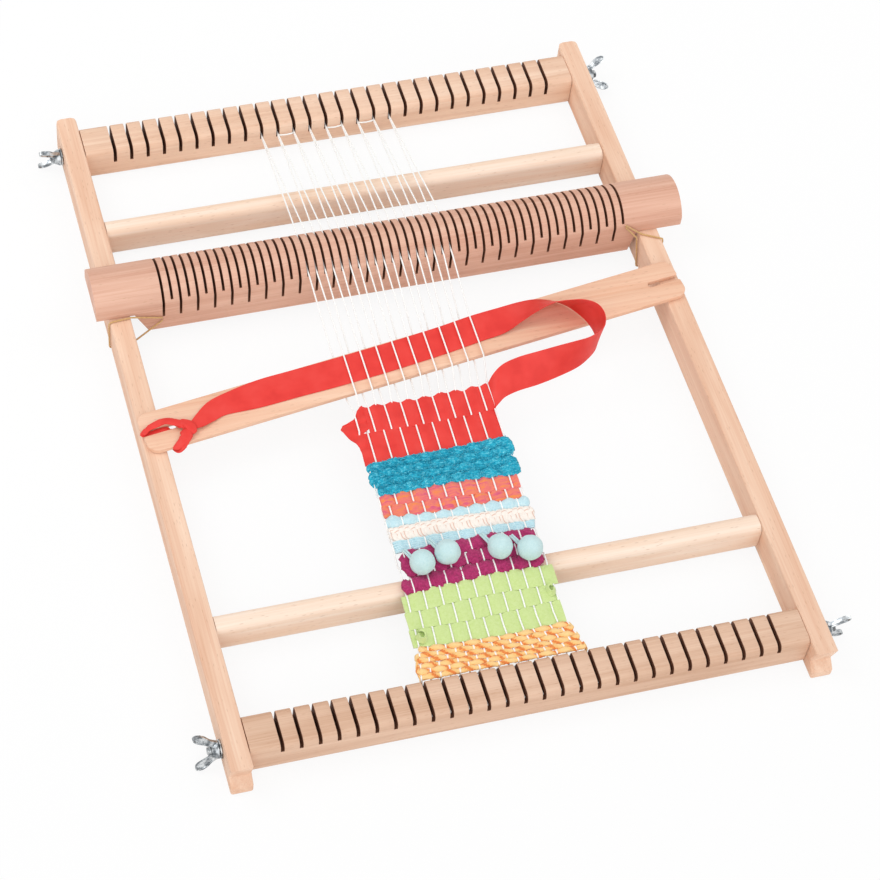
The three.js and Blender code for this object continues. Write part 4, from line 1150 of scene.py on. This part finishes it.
# Elastic bands
# A thin tan elastic runs from each end kerf of the heddle round the rail and
# back, and holds the bar down. Its way under the rail is a guess.
heddle_off = (heddle_low.y / MM) - 1.0
rail_out, rail_in = 208.8, 193.3
elastic_radius, elastic_step = 0.65, 0.9
left_eye, right_eye = kerf_x(0, *heddle_kerfs), kerf_x(55, *heddle_kerfs)
band_routes = (
    ("left_elastic", "left_band", -0.193, -0.168, [
        (left_eye - 0.6, heddle_off, 20.7), (-rail_in + 4.5, heddle_off - 0.8, 26.8),
        (-rail_in + 0.4, heddle_off - 1, 28.0), (-rail_out + 2.5, heddle_off - 2, 28.0),
        (-rail_out - 0.4, heddle_off - 2.4, 27.4), (-rail_out - 1.0, heddle_off - 2.6, 25.0),
        (-rail_out - 1.0, heddle_off - 3.4, 3.1), (-rail_out - 0.5, heddle_off - 3.6, 1.6),
        (-rail_out + 2, heddle_off - 3.7, 1.1), (-rail_in - 0.6, heddle_off - 4, 1.1),
        (-rail_in + 0.7, heddle_off - 4, 1.8), (-rail_in + 1.3, heddle_off - 3.9, 3.5),
        (left_eye - 0.6, heddle_off - 0.1, 18.8)]),
    ("right_elastic", "right_band", 0.193, 0.181, [
        (right_eye + 0.6, heddle_off, 38.1), (rail_in - 1.5, heddle_off - 1.2, 29.6),
        (rail_in + 2.5, heddle_off - 3, 28.0), (rail_out - 2.5, heddle_off - 8.6, 28.0),
        (rail_out + 0.4, heddle_off - 9.6, 27.4), (rail_out + 1.0, heddle_off - 9.8, 25.0),
        (rail_out + 1.0, heddle_off - 10.6, 3.1), (rail_out + 0.5, heddle_off - 10.7, 1.6),
        (rail_out - 2, heddle_off - 10.7, 1.1), (rail_in + 0.6, heddle_off - 10.6, 1.1),
        (rail_in - 0.7, heddle_off - 10.6, 1.8), (rail_in - 1.2, heddle_off - 10.4, 3.5),
        (rail_in - 1.2, heddle_off - 7, 13.5), (rail_in - 1.8, heddle_off - 3, 25.0),
        (right_eye + 0.9, heddle_off - 0.2, 36.1)]),
)
# A woven cover on the rubber gives a matt tan, finely mottled.
elastic = fibre_material("tan_covered_elastic", "#a8804e", "#cfa56b", "#e0bd86", 0.0009, contrast=0.3, bump=0.4)
for name, node_name, rail_side, eye_side, points in band_routes:
    shape = bmesh.new()
    path = [Vector(point) for point in points]
    line = []
    for a, b in zip(path, path[1:]):
        pieces = max(1, round((b - a).length / elastic_step))
        line.extend(a.lerp(b, k / pieces) for k in range(pieces))
    line.append(path[-1])
    count = len(line) - 1

    def round_place(s, t, line=line, count=count):
        index = round(s * count)
        ahead = (line[min(count, index + 1)] - line[max(0, index - 1)]).normalized()
        side = ahead.cross(Vector((0.05, 1, 0.1))).normalized()
        turn = 2 * math.pi * t
        reach = 0.0 if index in (0, count) else elastic_radius
        return line[index] + (side * math.cos(turn) + ahead.cross(side) * math.sin(turn)) * reach

    grown_grid(shape, round_place, count, 10, uv_size=(count * elastic_step * MM, 1.0))
    band = finished(name, shape, elastic, None, "elastic", node_name, sharp=180)
    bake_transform(band)

# Hanger bolts, washers and wing nuts
# Bright zinc-plated steel: a 6 mm bolt screwed into each end of a beam, a
# stamped washer and a die-cast wing nut whose ears have a raised rim.
# Zinc plating gives a bright, cool metal with crystal patches about 4 mm across.
zinc, tree = blank_material("bright_zinc_plated_steel")
place = node(tree, "TexCoord").outputs["Object"]
patches = node(tree, "TexNoise", {"Vector": place, "Scale": 260.0, "Detail": 3.0, "Roughness": 0.6})
shade = node(tree, "ValToRGB", {"Fac": patches}, [(0.38, "#6d7276"), (0.5, "#a7abae"), (0.62, "#d6d9da")])
worn = node(tree, "MapRange", {0: patches, 1: 0.35, 2: 0.65, 3: 0.18, 4: 0.36})
pitted = node(tree, "Bump", {"Height": patches, "Strength": 0.35, "Distance": 0.0006})
surface = node(tree, "BsdfPrincipled", {"Base Color": shade, "Roughness": worn, "Normal": pitted, "Metallic": 1.0})
node(tree, "OutputMaterial", {"Surface": surface})

bolt_radius = 0.003
thread_depth = 0.00045
thread_pitch = 0.001
washer_radius, washer_thickness = 0.0066, 0.0012
hub_radius, hub_top, hub_height = 0.0062, 0.0046, 0.005
bore_radius = 0.0033
wing_reach, wing_rise, wing_thickness = 0.0132, 0.0166, 0.0026
ear_rim, ear_hollow = 0.0009, 0.0005


def lathed(shape, profile, steps):
    """Turn a closed profile of (radius, height) about Z."""
    corners = [shape.verts.new((radius, 0, height)) for radius, height in profile]
    ring = [shape.edges.new((corners[k - 1], corners[k])) for k in range(len(corners))]
    bmesh.ops.spin(shape, geom=corners + ring, cent=(0, 0, 0), axis=(0, 0, 1), dvec=(0, 0, 0),
                   angle=2 * math.pi, steps=steps, use_merge=True, use_duplicate=False)


def out_of_rail(shape, side, y, height, degrees):
    """Stand a shape that was made along Z on a rail's outer side, its wings turned from +Y."""
    turn = math.radians(degrees)
    outward = Vector((side, 0, 0))
    wing = Vector((0, math.cos(turn), math.sin(turn)))
    basis = Matrix((wing, outward.cross(wing), outward)).transposed().to_4x4()
    bmesh.ops.transform(shape, matrix=Matrix.Translation((0, y, height)) @ basis, verts=shape.verts)


wing_turns = {"front_left": 64, "front_right": 96, "back_left": 110, "back_right": 36}
for corner, degrees in wing_turns.items():
    end, hand = corner.split("_")
    side = -1 if hand == "left" else 1
    bolt_low, bolt_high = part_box(f"{corner}_bolt")
    axis_y, axis_z = (bolt_low.y + bolt_high.y) / 2, (bolt_low.z + bolt_high.z) / 2
    bolt_start = min(abs(bolt_low.x), abs(bolt_high.x))
    bolt_length = bolt_high.x - bolt_low.x
    washer_low, washer_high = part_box(f"{corner}_washer")
    washer_x = min(abs(washer_low.x), abs(washer_high.x))
    nut_low, nut_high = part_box(f"{corner}_wing_nut")
    nut_x = min(abs(nut_low.x), abs(nut_high.x))

    def bolt_place(s, t, start=bolt_start, length=bolt_length):
        along = s * length
        ends = min(along, length - along)
        turn = along / thread_pitch - t
        groove = thread_depth * (0.5 + 0.5 * math.cos(2 * math.pi * turn))
        radius = min(bolt_radius - groove, bolt_radius - 0.0008 + ends) if ends > 1e-7 else 0.0
        return Vector((radius * math.cos(math.tau * t), radius * math.sin(math.tau * t), start + along)) / MM

    shape = bmesh.new()
    grown_grid(shape, bolt_place, round(bolt_length / thread_pitch * 6), 16)
    out_of_rail(shape, side, axis_y, axis_z, 0)
    finished(f"{corner}_hanger_bolt", shape, zinc, f"{end}_beam", "zinc", f"{corner}_bolt", sharp=50)

    shape = bmesh.new()
    lathed(shape, [(bore_radius, washer_x), (washer_radius - 0.0003, washer_x), (washer_radius, washer_x + 0.0003),
                   (washer_radius, washer_x + washer_thickness - 0.0003),
                   (washer_radius - 0.0003, washer_x + washer_thickness), (bore_radius, washer_x + washer_thickness)],
           40)
    out_of_rail(shape, side, axis_y, axis_z, 0)
    finished(f"{corner}_plate_washer", shape, zinc, "frame", "zinc", f"{corner}_washer", sharp=40)

    shape = bmesh.new()
    lathed(shape, [(bore_radius, 0), (hub_radius - 0.0004, 0), (hub_radius, 0.0004), (hub_radius, hub_height * 0.25),
                   (hub_top, hub_height - 0.0004), (hub_top - 0.0004, hub_height), (bore_radius, hub_height)], 40)
    root = bore_radius + 0.00025
    ear_outline = [(root, hub_height * 0.1), (hub_radius, hub_height * 0.1), (wing_reach * 0.62, wing_rise * 0.3),
                   (wing_reach * 0.85, wing_rise * 0.5), (wing_reach * 0.97, wing_rise * 0.68),
                   (wing_reach, wing_rise * 0.84), (wing_reach * 0.97, wing_rise * 0.95),
                   (wing_reach * 0.88, wing_rise), (wing_reach * 0.74, wing_rise * 0.98),
                   (wing_reach * 0.62, wing_rise * 0.88), (wing_reach * 0.44, wing_rise * 0.58),
                   (root, hub_height * 0.95)]
    for way in (1, -1):
        ear = pulled_out(shape, [(way * x, -wing_thickness / 2, z) for x, z in ear_outline],
                         (0, wing_thickness, 0))
        around = list({face for side_face in ear for corner_vert in side_face.verts
                       for face in corner_vert.link_faces})
        bmesh.ops.recalc_face_normals(shape, faces=around)
        bmesh.ops.inset_individual(shape, faces=ear, thickness=ear_rim, depth=0.0)
        bmesh.ops.inset_individual(shape, faces=ear, thickness=0.0003, depth=-ear_hollow)
    bmesh.ops.translate(shape, vec=(0, 0, nut_x), verts=shape.verts)
    out_of_rail(shape, side, axis_y, axis_z, degrees)
    finished(f"{corner}_winged_nut", shape, zinc, f"{corner}_nut", "zinc", f"{corner}_wing_nut", sharp=40)

bpy.context.view_layer.update()
